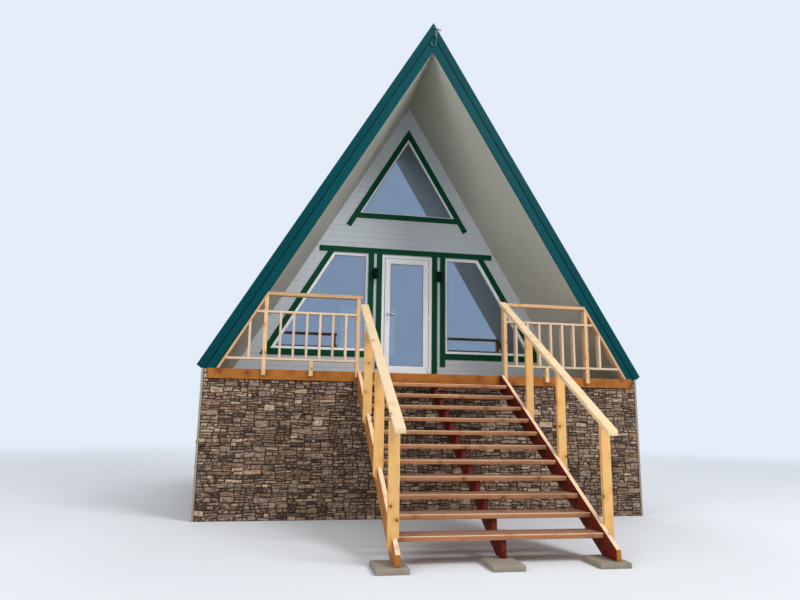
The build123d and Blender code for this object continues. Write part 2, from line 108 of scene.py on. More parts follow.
class CabinSizes(bpy.types.PropertyGroup):
    """Sizes of the parts that the solids don't hold."""

    course: size("Siding course", "Height of one course of the wall siding", 0.1)
    plank: size("Soffit plank", "Width of one plank of the roof's lining", 0.1)
    joint: size("Siding joint", "Half the width of the joint between two courses", 0.0032)
    joint_deep: size("Siding joint depth", "Depth of the joint between two courses", 0.005)
    seam: size("Soffit seam", "Half the width of the seam between two planks", 0.0012)
    seam_deep: size("Soffit seam depth", "Depth of the seam between two planks", 0.001)
    panel_wide: size("Stone panel width", "Width of one moulded panel of stones", 1.13)
    panel_high: size("Stone panel height", "Height of one moulded panel of stones", 0.452)
    stone_wide: size("Widest stone", "Width over which a stone is split", 0.25)
    stone_high: size("Highest stone", "Height over which a stone is split", 0.088)
    stone_proud: size("Stone relief", "How far the highest stones stand out of the joints", 0.024)
    stone_joint: size("Stone joint", "Width of the joint between two stones", 0.0035)
    stone_side: size("Stone side", "Width of the broken edges of a stone", 0.009)
    corner_wide: size("Corner strip", "Width of the strips on the corners of the base", 0.016)
    rib_pitch: size("Rib pitch", "Distance between the ribs of the roof sheets", 0.115)
    rib_wide: size("Rib width", "Width of a rib of the roof sheets at its foot", 0.04)
    floor_board: size("Floor board", "Width of the deck and floor boards", 0.14)
    floor_joint: size("Floor joint", "Gap between the deck boards", 0.005)
    edge: size("Board edge", "Width of the softened edges of planed boards", 0.003)
    bead: size("Glazing bead", "Width of the bead beside the glass", 0.014)
    gasket: size("Gasket", "Width of the rubber beside the glass", 0.005)


class CabinColours(bpy.types.PropertyGroup):
    """Colours of the finishes."""

    # Partly painted reflection: the steel's moss green is pushed towards the teal that a blue sky gives it
    metal: colour("Roof metal", "Coated steel of the roof, verges and ridge", 0, 64, 70)
    trim: colour("Trim paint", "Paint of the boards round the windows and door", 0, 68, 42)
    # Siding and lining are white boards: part of their grey is painted shade, and the siding's cool tint is
    # painted skylight
    siding: colour("Siding", "Siding of the gable walls", 200, 208, 214)
    lining: colour("Lining", "Planks under the roof", 192, 194, 182)
    profile: colour("Window profile", "Frames of the windows and the door", 250, 252, 255)
    seal: colour("Door seal", "Pale seal between the door and its frame", 150, 153, 156)
    # Painted reflection: the blue is that of a sky, put into the panes' colour
    glass: colour("Glass", "What the panes give back of the sky", 164, 184, 208)
    rubber: colour("Rubber", "Gaskets beside the panes", 26, 27, 29)
    stain: colour("Stain", "Stained boards of the deck's edge", 186, 118, 44)
    stain_grain: colour("Stain in the grain", "Dark grain of the stained boards", 118, 60, 22)
    tread: colour("Treads", "Front edges of the treads", 192, 138, 98)
    tread_top: colour("Tread tops", "Trodden tops of the treads", 158, 120, 98)
    tread_grain: colour("Tread grain", "Dark grain of the treads", 128, 78, 48)
    # The strings carry one stain in three colours by which way a face looks: the dark red stands in for the
    # shade under the treads, the golden is the lit stain, and the pale upper edges are a painted highlight
    strings: colour("Strings", "Boards that carry the treads", 112, 30, 12)
    strings_grain: colour("Strings' grain", "Dark grain of these boards", 70, 22, 12)
    string_edge: colour("String edges", "Pale upper edges of these boards", 244, 212, 178)
    string_side: colour("Left string", "Outer side of the left one of these boards", 184, 122, 50)
    rail: colour("Rails", "Boards of the deck's railings", 212, 176, 136)
    rail_grain: colour("Rails' grain", "Dark grain of the railings' boards", 180, 124, 76)
    baluster: colour("Balusters", "Balusters and thin rails of the deck's railings", 220, 200, 174)
    baluster_grain: colour("Balusters' grain", "Dark grain of the balusters", 196, 154, 114)
    rail_post: colour("Railing posts", "Posts of the deck's railings", 236, 202, 156)
    post: colour("Posts", "Posts of the stair", 240, 196, 128)
    post_grain: colour("Posts' grain", "Dark grain of the posts", 202, 138, 68)
    # The handrails' pale cream is partly the pine's own colour and partly painted sunlight
    handrail: colour("Handrails", "Handrails of the stair", 232, 213, 180)
    handrail_grain: colour("Handrails' grain", "Dark grain of the handrails", 212, 166, 104)
    knot: colour("Knots", "Knots of all the boards", 104, 54, 26)
    sawn: colour("Sawn timber", "Rough timber inside the roof and the floors", 196, 160, 112)
    sawn_grain: colour("Sawn grain", "Dark grain of the rough timber", 150, 106, 60)
    decking: colour("Decking", "Deck and floor boards", 158, 112, 74)
    stone_dark: colour("Dark stone", "Darkest of the stones", 68, 50, 40)
    stone_brown: colour("Brown stone", "Most of the stones", 132, 101, 78)
    stone_grey: colour("Grey stone", "Greyer stones", 152, 134, 120)
    stone_pale: colour("Pale stone", "Palest of the stones", 206, 180, 150)
    mortar: colour("Stone joints", "What lies between the stones", 44, 30, 24)
    corner: colour("Corner strip", "Strips on the corners of the base", 158, 150, 136)
    concrete: colour("Concrete", "Pads under the stair", 152, 142, 128)
    black: colour("Black metal", "Wall lamps", 20, 21, 23)
    steel: colour("Steel", "Handles and screws", 176, 172, 168)
    zinc: colour("Dull zinc", "Bracket and hook under the ridge", 96, 98, 104)
    lens: colour("Lamp lens", "Frosted glass of the wall lamps", 214, 208, 190)
    floor: colour("Studio floor", "Floor that the cabin stands on", 222, 225, 229)
    backdrop: colour("Backdrop", "What is seen round the cabin", 228, 237, 248)


def sizes():
    return bpy.context.scene.cabin_sizes


def tint(name, factor=1, lift=0):
    """One of the sidebar's colours as plain numbers, made darker or lighter if wanted."""
    return tuple(factor * value + lift for value in getattr(bpy.context.scene.cabin_colours, name))


def operator(operation, swapped=False):
    """A method of Wire that adds the Math node for a + b, or for b + a if swapped."""
    def work(wire, other):
        return wire.maths(operation, *((other, wire) if swapped else (wire, other)))
    return work


class Wire:
    """A shader socket. An expression on wires adds its Math nodes."""

    def __init__(self, shader, socket):
        self.shader = shader
        self.socket = socket

    def maths(self, operation, *values):
        return self.shader.node("ShaderNodeMath", {"operation": operation}, dict(enumerate(values)))

    __add__, __radd__ = operator("ADD"), operator("ADD", True)
    __sub__, __rsub__ = operator("SUBTRACT"), operator("SUBTRACT", True)
    __mul__, __rmul__ = operator("MULTIPLY"), operator("MULTIPLY", True)
    __truediv__, __rtruediv__ = operator("DIVIDE"), operator("DIVIDE", True)
    __pow__, __rpow__ = operator("POWER"), operator("POWER", True)
    highest, lowest = operator("MAXIMUM"), operator("MINIMUM")

    def __abs__(self):
        return self.maths("ABSOLUTE", self)

    def fraction(self):
        return self.maths("FRACT", self)


class Shader:
    """The node tree of one finish, or of the world."""

    def __init__(self, name, world=None):
        self.owner = world or bpy.data.materials.new(name)
        self.owner.use_nodes = True
        self.tree = self.owner.node_tree
        self.surface = self.tree.nodes.get("Principled BSDF")

    def node(self, kind, settings=None, sockets=None, output=0):
        """Adds a node, sets its settings and then its sockets, and gives one of its outputs."""
        node = self.tree.nodes.new(kind)
        for name, value in (settings or {}).items():
            if name == "stops":
                self.set_stops(node.color_ramp, value)
            else:
                setattr(node, name, value)
        for name, value in (sockets or {}).items():
            self.plug(node.inputs[name], value)
        return Wire(self, node.outputs[output])

    def plug(self, socket, value):
        if isinstance(value, Wire):
            self.tree.links.new(value.socket, socket)
        elif hasattr(value, "__len__") and len(value) == 3 and len(socket.default_value) == 4:
            socket.default_value = (*value, 1)
        else:
            socket.default_value = value

    def set_stops(self, ramp, stops):
        while len(ramp.elements) < len(stops):
            ramp.elements.new(1)
        for element, (place, shade) in zip(ramp.elements, stops):
            element.position = place
            element.color = (*shade, 1)

    def place(self):
        """Where a point lies, in metres."""
        return self.node("ShaderNodeTexCoord", output="Object")

    def attribute(self, name, output="Vector"):
        return self.node("ShaderNodeAttribute", {"attribute_name": name}, output=output)

    def split(self, vector):
        return [self.node("ShaderNodeSeparateXYZ", None, {0: vector}, i) for i in range(3)]

    def vectors(self, operation, *values, output="Vector"):
        return self.node("ShaderNodeVectorMath", {"operation": operation}, dict(enumerate(values)), output)

    def noise(self, vector, scale, detail=3, roughness=0.5):
        sockets = {"Vector": vector, "Scale": scale, "Detail": detail, "Roughness": roughness}
        return self.node("ShaderNodeTexNoise", None, sockets)

    def streaks(self, vector, scale, detail=3, roughness=0.5):
        """Noise with a scale for each way, so that it is drawn out along one."""
        return self.noise(self.vectors("MULTIPLY", vector, scale), 1.0, detail, roughness)

    def smooth(self, value, low, high):
        """From 0 at low to 1 at high, with soft ends."""
        settings = {"interpolation_type": "SMOOTHSTEP"}
        return self.node("ShaderNodeMapRange", settings, {0: value, 1: low, 2: high})

    def mix(self, amount, first, second, blend="MIX"):
        settings = {"data_type": "RGBA", "blend_type": blend}
        return self.node("ShaderNodeMix", settings, {0: amount, 6: first, 7: second}, 2)

    def shade(self, base, value):
        """The colour made darker or lighter by a grey value."""
        grey = self.node("ShaderNodeCombineXYZ", None, {0: value, 1: value, 2: value})
        return self.mix(1.0, base, grey, "MULTIPLY")

    def bump(self, height, distance, strength=1.0):
        sockets = {"Height": height, "Distance": distance, "Strength": strength}
        return self.node("ShaderNodeBump", None, sockets)

    def finish(self, **values):
        """Sets the sockets of the surface, named in small letters with low lines."""
        for name, value in values.items():
            label = name.replace("_", " ").title().replace("Ior", "IOR")
            self.plug(self.surface.inputs[label], value)
        return self.owner


def timber(name, pale, dark, contrast, knots):
    """Sawn or planed softwood, cut from the log that the boards' grain attribute describes.

    contrast is how strong its rings are, and knots how large its knots are."""
    pale, dark = tint(pale), tint(dark)
    ring = 0.008
    cell = (3.4, 9.0, 9.0)
    s = Shader(name)
    grain = s.attribute("grain")
    tone = s.attribute("tone", "Fac")
    x, y, z = s.split(grain)
    bend = s.streaks(grain, (0.8, 5.0, 5.0), 2) - 0.5
    cells = s.vectors("MULTIPLY", grain, cell)
    eye = s.node("ShaderNodeTexVoronoi", None, {"Vector": cells, "Scale": 1.0, "Randomness": 0.9}, "Position")
    away = s.vectors("MULTIPLY", s.vectors("SUBTRACT", cells, eye), [1 / count for count in cell])
    reach = s.vectors("LENGTH", away, output="Value")
    reach = reach + (s.noise(grain, 60.0, 2) - 0.5) * 0.012
    knot = 1 - s.smooth(reach, 0.008 * knots, 0.017 * knots)
    halo = 1 - s.smooth(reach, 0.012 * knots, 0.06 * knots)
    y = y + bend * 0.045
    z = z + bend * 0.03
    depth = (y * y + z * z) ** 0.5 + halo * halo * 0.012
    year = (depth / ring + (s.streaks(grain, (2.0, 30.0, 30.0), 2) - 0.5) * 0.8).fraction()
    late = year ** 2.2 * (1 - s.smooth(year, 0.93, 1.0))
    fibre = s.streaks(grain, (7.0, 320.0, 320.0), 3, 0.6)
    cloud = s.smooth(s.streaks(grain, (1.9, 11.0, 11.0)), 0.3, 0.7)
    amount = late * contrast + (fibre - 0.5) * 0.5 + (cloud - 0.5) * 0.3 + 0.2
    wood = s.mix(amount.highest(0.0).lowest(1.0), pale, dark)
    wood = s.shade(wood, 0.86 + tone * 0.22 + (cloud - 0.5) * 0.2)
    wood = s.mix(halo * 0.45, wood, dark)
    wood = s.mix(knot * 0.85, wood, tint("knot"))
    height = fibre * 0.5 - late * 0.35 + knot * 0.4
    return s.finish(
        base_color=wood,
        roughness=(0.58 + (fibre - 0.5) * 0.25 - knot * 0.15).lowest(0.95),
        normal=s.bump(height, 0.0012, 0.6),
        specular_ior_level=0.2,
    )


def sawn_timber(name):
    """Rough structural timber, whose grain runs along the roof."""
    s = Shader(name)
    place = s.place()
    fibre = s.streaks(place, (90.0, 4.0, 90.0), 4, 0.6)
    bands = s.streaks(place, (14.0, 0.6, 14.0), 2)
    wood = s.mix(s.smooth(fibre, 0.35, 0.75), tint("sawn"), tint("sawn_grain"))
    wood = s.shade(wood, 0.75 + bands * 0.45)
    return s.finish(base_color=wood, roughness=0.75 + fibre * 0.15, normal=s.bump(fibre, 0.0015, 0.7))


def coated(name, base, rough, metallic=0.0, folded=False):
    """Coated steel or painted metal with a little dust and faint waves in the sheet."""
    s = Shader(name)
    place = s.place()
    waves = s.noise(place, 1.7, 2)
    dust = s.noise(place, 9.0, 5, 0.65)
    grit = s.noise(place, 420.0, 2)
    streak = s.streaks(place, (30.0, 30.0, 1.5))
    tinted = s.mix(s.smooth(dust, 0.45, 0.85) * 0.08, tint(base), tint(base, 0.6, 0.04))
    tinted = s.shade(tinted, 0.84 + waves * 0.22 + streak * 0.12)
    s.finish(
        roughness=rough + dust * 0.22 + (grit - 0.5) * 0.06,
        normal=s.bump(waves * 4.0 + grit * 0.02, 0.0012, 0.6),
        specular_ior_level=0.06,
        metallic=metallic,
    )
    # For the verges, painted shade along the fold and a painted lighter stripe under it
    return s.finish(base_color=painted_fold_shade(s, place, tinted, base) if folded else tinted)


def painted_fold_shade(s, place, tinted, base):
    """Painted shade along the fold of the verges, where the step would cast it, and a painted lighter stripe
    under it.
    """
    x, y, z = s.split(place)
    depth = (RIDGE - z - abs(x) * math.tan(PITCH)) * math.cos(PITCH)
    uneven = (s.noise(place, 14.0, 3) - 0.5) * 0.004
    # Painted shade in the crease of the fold
    fold_shade = 1 - s.smooth(abs(depth - VERGE_FOLD - 0.003 + uneven), 0.003, 0.009)
    # Painted lighter stripe under the fold
    lit_band = s.smooth(depth, VERGE_FOLD, VERGE_FOLD + 0.02)
    tinted = s.shade(tinted, 0.94 + lit_band * 0.14)
    return s.mix(fold_shade * 0.85, tinted, tint(base, 0.18))


def trim_paint(name):
    """Green paint on planed boards: brush streaks along the board and a little of its grain."""
    s = Shader(name)
    grain = s.attribute("grain")
    tone = s.attribute("tone", "Fac")
    brush = s.streaks(grain, (5.0, 260.0, 260.0), 4, 0.6)
    cloud = s.streaks(grain, (1.5, 8.0, 8.0))
    dust = s.noise(grain, 24.0, 5, 0.7)
    tinted = s.mix(s.smooth(dust, 0.5, 0.9) * 0.12, tint("trim"), tint("trim", 0.6, 0.03))
    return s.finish(
        base_color=s.shade(tinted, 0.8 + cloud * 0.26 + brush * 0.14 + tone * 0.08),
        roughness=0.5 + brush * 0.15 + dust * 0.08,
        normal=s.bump(brush, 0.0008, 0.6),
        specular_ior_level=0.12,
    )


def wall_boards(name, base, rough):
    """White wall boards: faint embossed grain, hand marks and dust that gathers in streaks."""
    s = Shader(name)
    place = s.place()
    grain = s.streaks(place, (9.0, 9.0, 150.0), 4, 0.6)
    dust = s.noise(place, 3.1, 5, 0.62)
    streak = s.streaks(place, (26.0, 26.0, 1.1))
    specks = s.noise(place, 75.0, 2)
    dusty = [value * share for value, share in zip(tint(base), (0.8, 0.77, 0.7))]
    tinted = s.mix(s.smooth(dust * 0.6 + streak * 0.5, 0.5, 0.85) * 0.35, tint(base), dusty)
    return s.finish(
        base_color=s.shade(tinted, 0.955 + grain * 0.05 + (specks - 0.5) * 0.04),
        roughness=rough + grain * 0.12 + dust * 0.1,
        normal=s.bump(grain, 0.0006, 0.5),
        specular_ior_level=0.35,
    )


def window_plastic(name):
    """White plastic of the window and door profiles."""
    s = Shader(name)
    place = s.place()
    dust = s.noise(place, 5.0, 5, 0.65)
    peel = s.noise(place, 260.0, 2)
    return s.finish(
        base_color=s.mix(s.smooth(dust, 0.5, 0.85) * 0.2, tint("profile"), tint("profile", 0.85)),
        roughness=0.4 + dust * 0.2,
        normal=s.bump(peel, 0.0003, 0.4),
        specular_ior_level=0.35,
    )


def rubber(name, base, film, worn, rough):
    """Rubber under a film of dust."""
    s = Shader(name)
    dust = s.noise(s.place(), 40.0, 4, 0.6)
    tinted = s.mix(s.smooth(dust, 0.4, 0.9) * film, tint(base), tint(base, *worn))
    return s.finish(base_color=tinted, roughness=rough + dust * 0.2)


def glass(name):
    """Panes that give back about half of what stands before them and let the rest through."""
    s = Shader(name)
    place = s.place()
    film = s.noise(place, 2.6, 4, 0.6)
    specks = s.noise(place, 130.0, 3, 0.7)
    s.owner.surface_render_method = "BLENDED"
    return s.finish(
        # The panes' colour carries a painted reflection of a blue sky
        base_color=s.shade(tint("glass"), 0.93 + film * 0.1),
        metallic=1.0,
        roughness=s.smooth(specks, 0.6, 0.9) * 0.25 + film * 0.03,
        alpha=0.56 + (film - 0.5) * 0.1,
        normal=s.bump(s.noise(place, 1.3, 2), 0.0012, 0.25),
    )


def ledge_stone(name):
    """Moulded ledge stones: each has its own colour, with pits, veins, paler worn patches, a painted
    highlight on the raised faces and along the upper part of their broken sides, and painted shade on the
    broken sides and the sunk stones.
    """
    s = Shader(name)
    place = s.place()
    tone = s.attribute("tone", "Fac")
    relief = s.attribute("relief", "Fac")
    broad = s.noise(place, 7.0, 4, 0.6)
    rough = s.noise(place, 27.0, 6, 0.72)
    veins = s.streaks(place, (18.0, 18.0, 90.0), 4, 0.65)
    stops = (
        (0.08, tint("stone_dark")),
        (0.32, tint("stone_brown")),
        (0.58, tint("stone_grey")),
        (0.76, tint("stone_brown")),
        (1.0, tint("stone_pale")),
    )
    varied = (tone + (broad - 0.5) * 0.5).highest(0.0).lowest(1.0)
    base = s.node("ShaderNodeValToRGB", {"stops": stops}, {0: varied})
    # Painted highlight along the upper part of each stone's broken sides
    ridge = s.smooth(relief, 0.2, 0.4) * (1 - s.smooth(relief, 0.45, 0.7))
    # Paler patches: worn patches from the noises, and a painted highlight that grows with the relief
    wear_and_highlight = s.smooth(rough * 0.6 + veins * 0.3 + relief * 0.17 + ridge * 0.12, 0.58, 0.76)
    tinted = s.mix(wear_and_highlight * 0.62, base, tint("stone_pale"))
    pits = 1 - s.smooth(rough, 0.36, 0.5)
    tinted = s.mix(pits * 0.85, tinted, tint("stone_dark"))
    # The dark of the joints spreads up the broken sides and over the sunk stones: dark joints and painted
    # shade
    joint_and_shade = 0.2 + s.smooth(s.noise(place, 12.0, 3), 0.4, 0.6) * 0.8
    tinted = s.mix((1 - s.smooth(relief, 0.0, 0.5)) * joint_and_shade, tinted, tint("mortar"))
    return s.finish(
        base_color=s.shade(tinted, 0.65 + veins * 0.52),
        roughness=0.74 + rough * 0.2,
        normal=s.bump(rough + veins * 0.6 - pits * 0.3, 0.007, 0.9),
        specular_ior_level=0.25,
    )


def stone_joints(name):
    s = Shader(name)
    grit = s.noise(s.place(), 90.0, 5, 0.7)
    tinted = s.mix(s.smooth(grit, 0.4, 0.8), tint("mortar"), tint("mortar", 1.7))
    return s.finish(base_color=tinted, roughness=0.9, normal=s.bump(grit, 0.003, 0.8))


def mineral(name, base, damp):
    """Cast concrete or mortar: clouds of damp, sand grains and small pores."""
    s = Shader(name)
    place = s.place()
    cloud = s.noise(place, 5.0, 5, 0.6)
    sand = s.noise(place, 210.0, 3, 0.7)
    pores = s.node("ShaderNodeTexVoronoi", None, {"Vector": place, "Scale": 55.0})
    pore = 1 - s.smooth(pores, 0.05, 0.14)
    tinted = s.mix(s.smooth(cloud, 0.35, 0.75) * 0.6, tint(base), tint(base, damp))
    tinted = s.mix(pore * 0.6, s.shade(tinted, 0.85 + sand * 0.3), tint(base, damp * 0.5))
    return s.finish(
        base_color=tinted,
        roughness=0.95,
        normal=s.bump(sand * 0.3 + cloud - pore, 0.004, 0.6),
        specular_ior_level=0.05,
    )


def satin_steel(name):
    """Satin steel with fine brushed lines."""
    s = Shader(name)
    place = s.place()
    lines = s.streaks(place, (60.0, 60.0, 1400.0), 2)
    smear = s.noise(place, 30.0, 4, 0.6)
    return s.finish(
        base_color=s.shade(tint("steel"), 0.85 + lines * 0.2),
        metallic=0.9,
        roughness=0.3 + smear * 0.2,
        normal=s.bump(lines, 0.0002, 0.4),
    )


def lamp_lens(name):
    s = Shader(name)
    film = s.noise(s.place(), 60.0, 3)
    return s.finish(base_color=s.shade(tint("lens"), 0.9 + film * 0.15), roughness=0.35 + film * 0.2)


# How each finish is made: its function, and what that is given after the finish's name
FINISHES = {
    "rail pine": (timber, "rail", "rail_grain", 0.5, 1.0),
    "baluster pine": (timber, "baluster", "baluster_grain", 0.4, 0.7),
    "railing post pine": (timber, "rail_post", "rail_grain", 0.5, 1.2),
    "post pine": (timber, "post", "post_grain", 0.5, 1.3),
    "handrail pine": (timber, "handrail", "handrail_grain", 0.5, 1.3),
    "stained boards": (timber, "stain", "stain_grain", 0.7, 1.9),
    "tread boards": (timber, "tread", "tread_grain", 0.5, 1.3),
    "tread tops": (timber, "tread_top", "tread_grain", 0.4, 1.3),
    # The strings: painted shade on their sides, the lit stain on their ends and left side, and a painted
    # highlight on the upper edges of strings and treads
    "stained strings": (timber, "strings", "strings_grain", 0.6, 1.0),
    "string edges": (timber, "string_edge", "tread", 0.25, 1.0),
    "golden string": (timber, "string_side", "stain_grain", 0.5, 1.6),
    "deck boards": (timber, "decking", "stain_grain", 0.4, 1.0),
    "sawn timber": (sawn_timber,),
    "moss green coated steel": (coated, "metal", 0.36),
    # The verges' steel carries painted shade along its fold
    "folded verge steel": (coated, "metal", 0.36, 0.0, True),
    "black lamp metal": (coated, "black", 0.42),
    "dull zinc": (coated, "zinc", 0.5, 0.3),
    "green trim paint": (trim_paint,),
    "white siding": (wall_boards, "siding", 0.42),
    "white soffit planks": (wall_boards, "lining", 0.5),
    "white window profile": (window_plastic,),
    "pale door seal": (rubber, "seal", 0.4, (0.8,), 0.6),
    "rubber gasket": (rubber, "rubber", 0.5, (1, 0.03), 0.62),
    "reflective glass": (glass,),
    "ledge stone": (ledge_stone,),
    "stone joints": (stone_joints,),
    "pad concrete": (mineral, "concrete", 0.6),
    "corner strip": (mineral, "corner", 0.7),
    "satin steel": (satin_steel,),
    "frosted lamp lens": (lamp_lens,),
}


def finish(name):
    """The finish of that name, made on its first use."""
    make, *values = FINISHES[name]
    return bpy.data.materials.get(name) or make(name, *values)


def dress(name, *nodes):
    """Gives a finish to CAD nodes that stay as they are."""
    for node in nodes:
        mesh = NODES[node].data
        mesh.materials.clear()
        mesh.materials.append(finish(name))


def to_side(side, vector):
    """The vector as it is for side 1, or mirrored for side -1."""
    return Vector((side * vector.x, vector.y, vector.z))


def on_roof(side, along, depth, y):
    """A point on one slope: so far down from the ridge and so deep under the outer surface."""
    return to_side(side, Vector((0, y, RIDGE)) + SLOPE_DOWN * along - SLOPE_OUT * depth)


def slope_x(depth, z):
    """How far from the middle the roof surface at this depth lies at height z."""
    return (RIDGE - depth / math.cos(PITCH) - z) / math.tan(PITCH)


def edges_of(verts):
    """The edges at some vertices, each once and in the same order at every run."""
    return list(dict.fromkeys(edge for vert in verts for edge in vert.link_edges))


def faces_of(verts):
    return list(dict.fromkeys(face for vert in verts for face in vert.link_faces))


def of_kind(kind, items):
    return [item for item in items if isinstance(item, kind)]


def islands(bm):
    """The vertices of each separate shape."""
    seen = set()
    for start in bm.verts:
        if start in seen:
            continue
        seen.add(start)
        group = [start]
        for vert in group:
            for edge in vert.link_edges:
                other = edge.other_vert(vert)
                if other not in seen:
                    seen.add(other)
                    group.append(other)
        yield group


def copy_node(name):
    """A merged copy of a CAD node."""
    bm = bmesh.new()
    bm.from_mesh(NODES[name].data)
    bmesh.ops.remove_doubles(bm, verts=bm.verts, dist=MERGE)
    return bm


def flatten(bm, delimit=frozenset()):
    """Makes flat faces whole again."""
    bmesh.ops.dissolve_limit(bm, angle_limit=FLAT, verts=bm.verts, edges=bm.edges, delimit=set(delimit))


def bevel(bm, edges, width, segments=1, clamp=False):
    bmesh.ops.bevel(
        bm, geom=edges, offset=width, segments=segments, profile=0.5, affect="EDGES", material=-1,
        clamp_overlap=clamp,
    )


def soften(bm, width, segments=1):
    """Bevels the sharp edges."""
    edges = [edge for edge in bm.edges if edge.is_manifold and edge.calc_face_angle() > SOFTEN_ABOVE]
    bevel(bm, edges, width, segments, True)


def length_and_place(edge):
    """What puts a board's edges in order, so that the longest one is the same at every run."""
    return round(edge.calc_length(), 4), round(edge.verts[0].co.length, 4)


def set_grain(bm, seed):
    """Stores for each board where its points lie in the log that it was sawn from."""
    rng = random.Random(seed)
    grain = bm.verts.layers.float_vector.new("grain")
    tone = bm.verts.layers.float.new("tone")
    for group in islands(bm):
        start, end = (vert.co for vert in max(edges_of(group), key=length_and_place).verts)
        along = (end - start).normalized()
        along = along if along.dot(Vector((1, 1.1, 1.2))) > 0 else -along
        across = along.orthogonal().normalized()
        up = along.cross(across)
        middle = sum((vert.co for vert in group), Vector()) / len(group)
        turn = rng.uniform(0, 2 * math.pi)
        pith = Vector((math.cos(turn), math.sin(turn))) * rng.uniform(0.03, 0.11)
        cut_from = rng.uniform(0, 60)
        shade = rng.random()
        for vert in group:
            away = vert.co - middle
            vert[grain] = (cut_from + away.dot(along), away.dot(across) + pith.x, away.dot(up) + pith.y)
            vert[tone] = shade


def add_object(name, data):
    made = bpy.data.objects.new(name, data)
    bpy.context.scene.collection.objects.link(made)
    return made


def add_piece(bm, name, finishes, body="cabin", replaced=()):
    """Makes the finished mesh a piece that rides on a body and may stand for CAD nodes."""
    mesh = bpy.data.meshes.new(name)
    bm.to_mesh(mesh)
    bm.free()
    stored = mesh.attributes.get("custom_normal")
    if stored:
        mesh.attributes.remove(stored)
    for one in finishes:
        mesh.materials.append(finish(one))
    mesh.shade_smooth()
    mesh.set_sharp_from_angle(angle=SMOOTH_BELOW)
    piece = add_object(name, mesh)
    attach(piece, body)
    if replaced:
        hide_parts(*replaced)


def add_block(bm, low, high):
    """A block between two corners."""
    low, high = Vector(low), Vector(high)
    place = Matrix.Translation((low + high) / 2) @ Matrix.Diagonal((*(high - low), 1))
    return bmesh.ops.create_cube(bm, size=1, matrix=place)["verts"]


def add_bar(bm, start, end, wide, thick, face):
    """A bar from start to end, thick along the face direction and wide across it."""
    along = (end - start).normalized()
    face = (face - along * face.dot(along)).normalized()
    turn = Matrix((along, face.cross(along), face)).transposed().to_4x4()
    stretch = Matrix.Diagonal(((end - start).length, wide, thick, 1))
    place = Matrix.Translation((start + end) / 2) @ turn @ stretch
    return bmesh.ops.create_cube(bm, size=1, matrix=place)["verts"]


def add_rod(bm, centre, radius, length, axis, segments=16, edge=0.0):
    """A round rod, whose ends may be bevelled."""
    place = Matrix.Translation(centre) @ UP.rotation_difference(axis).to_matrix().to_4x4()
    rod = bmesh.ops.create_cone(
        bm, cap_ends=True, segments=segments, radius1=radius, radius2=radius, depth=length, matrix=place
    )["verts"]
    if edge:
        ends = [face for face in faces_of(rod) if len(face.verts) > 4]
        bevel(bm, [rim for face in ends for rim in face.edges], edge, 2)


def set_finish(verts, number):
    """Gives the faces round some vertices one of their piece's finishes."""
    for face in faces_of(verts):
        face.material_index = number


def cut_off(bm, verts, point, normal):
    """Cuts away what lies beyond a plane and closes the cut."""
    cut = bmesh.ops.bisect_plane(
        bm, geom=list(verts) + edges_of(verts) + faces_of(verts), dist=1e-6, plane_co=point,
        plane_no=normal, clear_outer=True,
    )
    bmesh.ops.edgenet_fill(bm, edges=of_kind(bmesh.types.BMEdge, cut["geom_cut"]))


def rectangle(left, right, low, high):
    """An outline, drawn anticlockwise."""
    return [(left, low), (right, low), (right, high), (left, high)]


def shrunk(points, by):
    """A convex outline, drawn anticlockwise, with every side moved inwards."""
    lines = []
    for i, point in enumerate(points):
        start = Vector(point)
        along = (Vector(points[(i + 1) % len(points)]) - start).normalized()
        lines.append((start + Vector((-along.y, along.x)) * by, along))
    corners = []
    for i, (start, along) in enumerate(lines):
        before, run = lines[i - 1]
        corners.append(before + run * ((start - before).cross(along) / run.cross(along)))
    return corners


def add_ring(bm, loops):
    """A closed ring: an outline is extruded from each (outline, y, finish number) to the next one."""
    outline, y, _ = loops[0]
    first = [bm.verts.new((x, y, z)) for x, z in outline]
    edges = [bm.edges.new((first[i - 1], first[i])) for i in range(len(first))]
    corners = {vert: i for i, vert in enumerate(first)}
    for (_, _, number), (outline, y, _) in zip(loops, loops[1:] + loops[:1]):
        grown = bmesh.ops.extrude_edge_only(bm, edges=edges)["geom"]
        moved = {}
        for vert in of_kind(bmesh.types.BMVert, grown):
            below = [edge.other_vert(vert) for edge in vert.link_edges]
            i = next(corners[other] for other in below if other in corners)
            vert.co = (outline[i][0], y, outline[i][1])
            moved[vert] = i
        edges = [e for e in of_kind(bmesh.types.BMEdge, grown) if all(vert in moved for vert in e.verts)]
        for face in of_kind(bmesh.types.BMFace, grown):
            face.material_index = number
        corners = moved
    bmesh.ops.remove_doubles(bm, verts=first + list(corners), dist=MERGE)


def glazed_profile(outline, opening, y0, y1, pane0, pane1):
    """The steps of a profile from its outer edge over the bead and the gasket to the pane."""
    gasket = sizes().gasket
    bead = shrunk(opening, -sizes().bead - gasket)
    lip = shrunk(opening, -gasket - 0.0004)
    seat = shrunk(opening, -gasket)
    lip_deep, seat_deep, rubber_deep = 0.007, 0.0035, 0.001
    return [
        (outline, y0, 0),
        (bead, y0, 0),
        (lip, y0 + lip_deep, 0),
        (seat, pane0 - seat_deep, 1),
        (opening, pane0 - rubber_deep, 0),
        (opening, pane1 + rubber_deep, 1),
        (seat, pane1 + seat_deep, 0),
        (lip, y1 - lip_deep, 0),
        (bead, y1, 0),
        (outline, y1, 0),
    ]


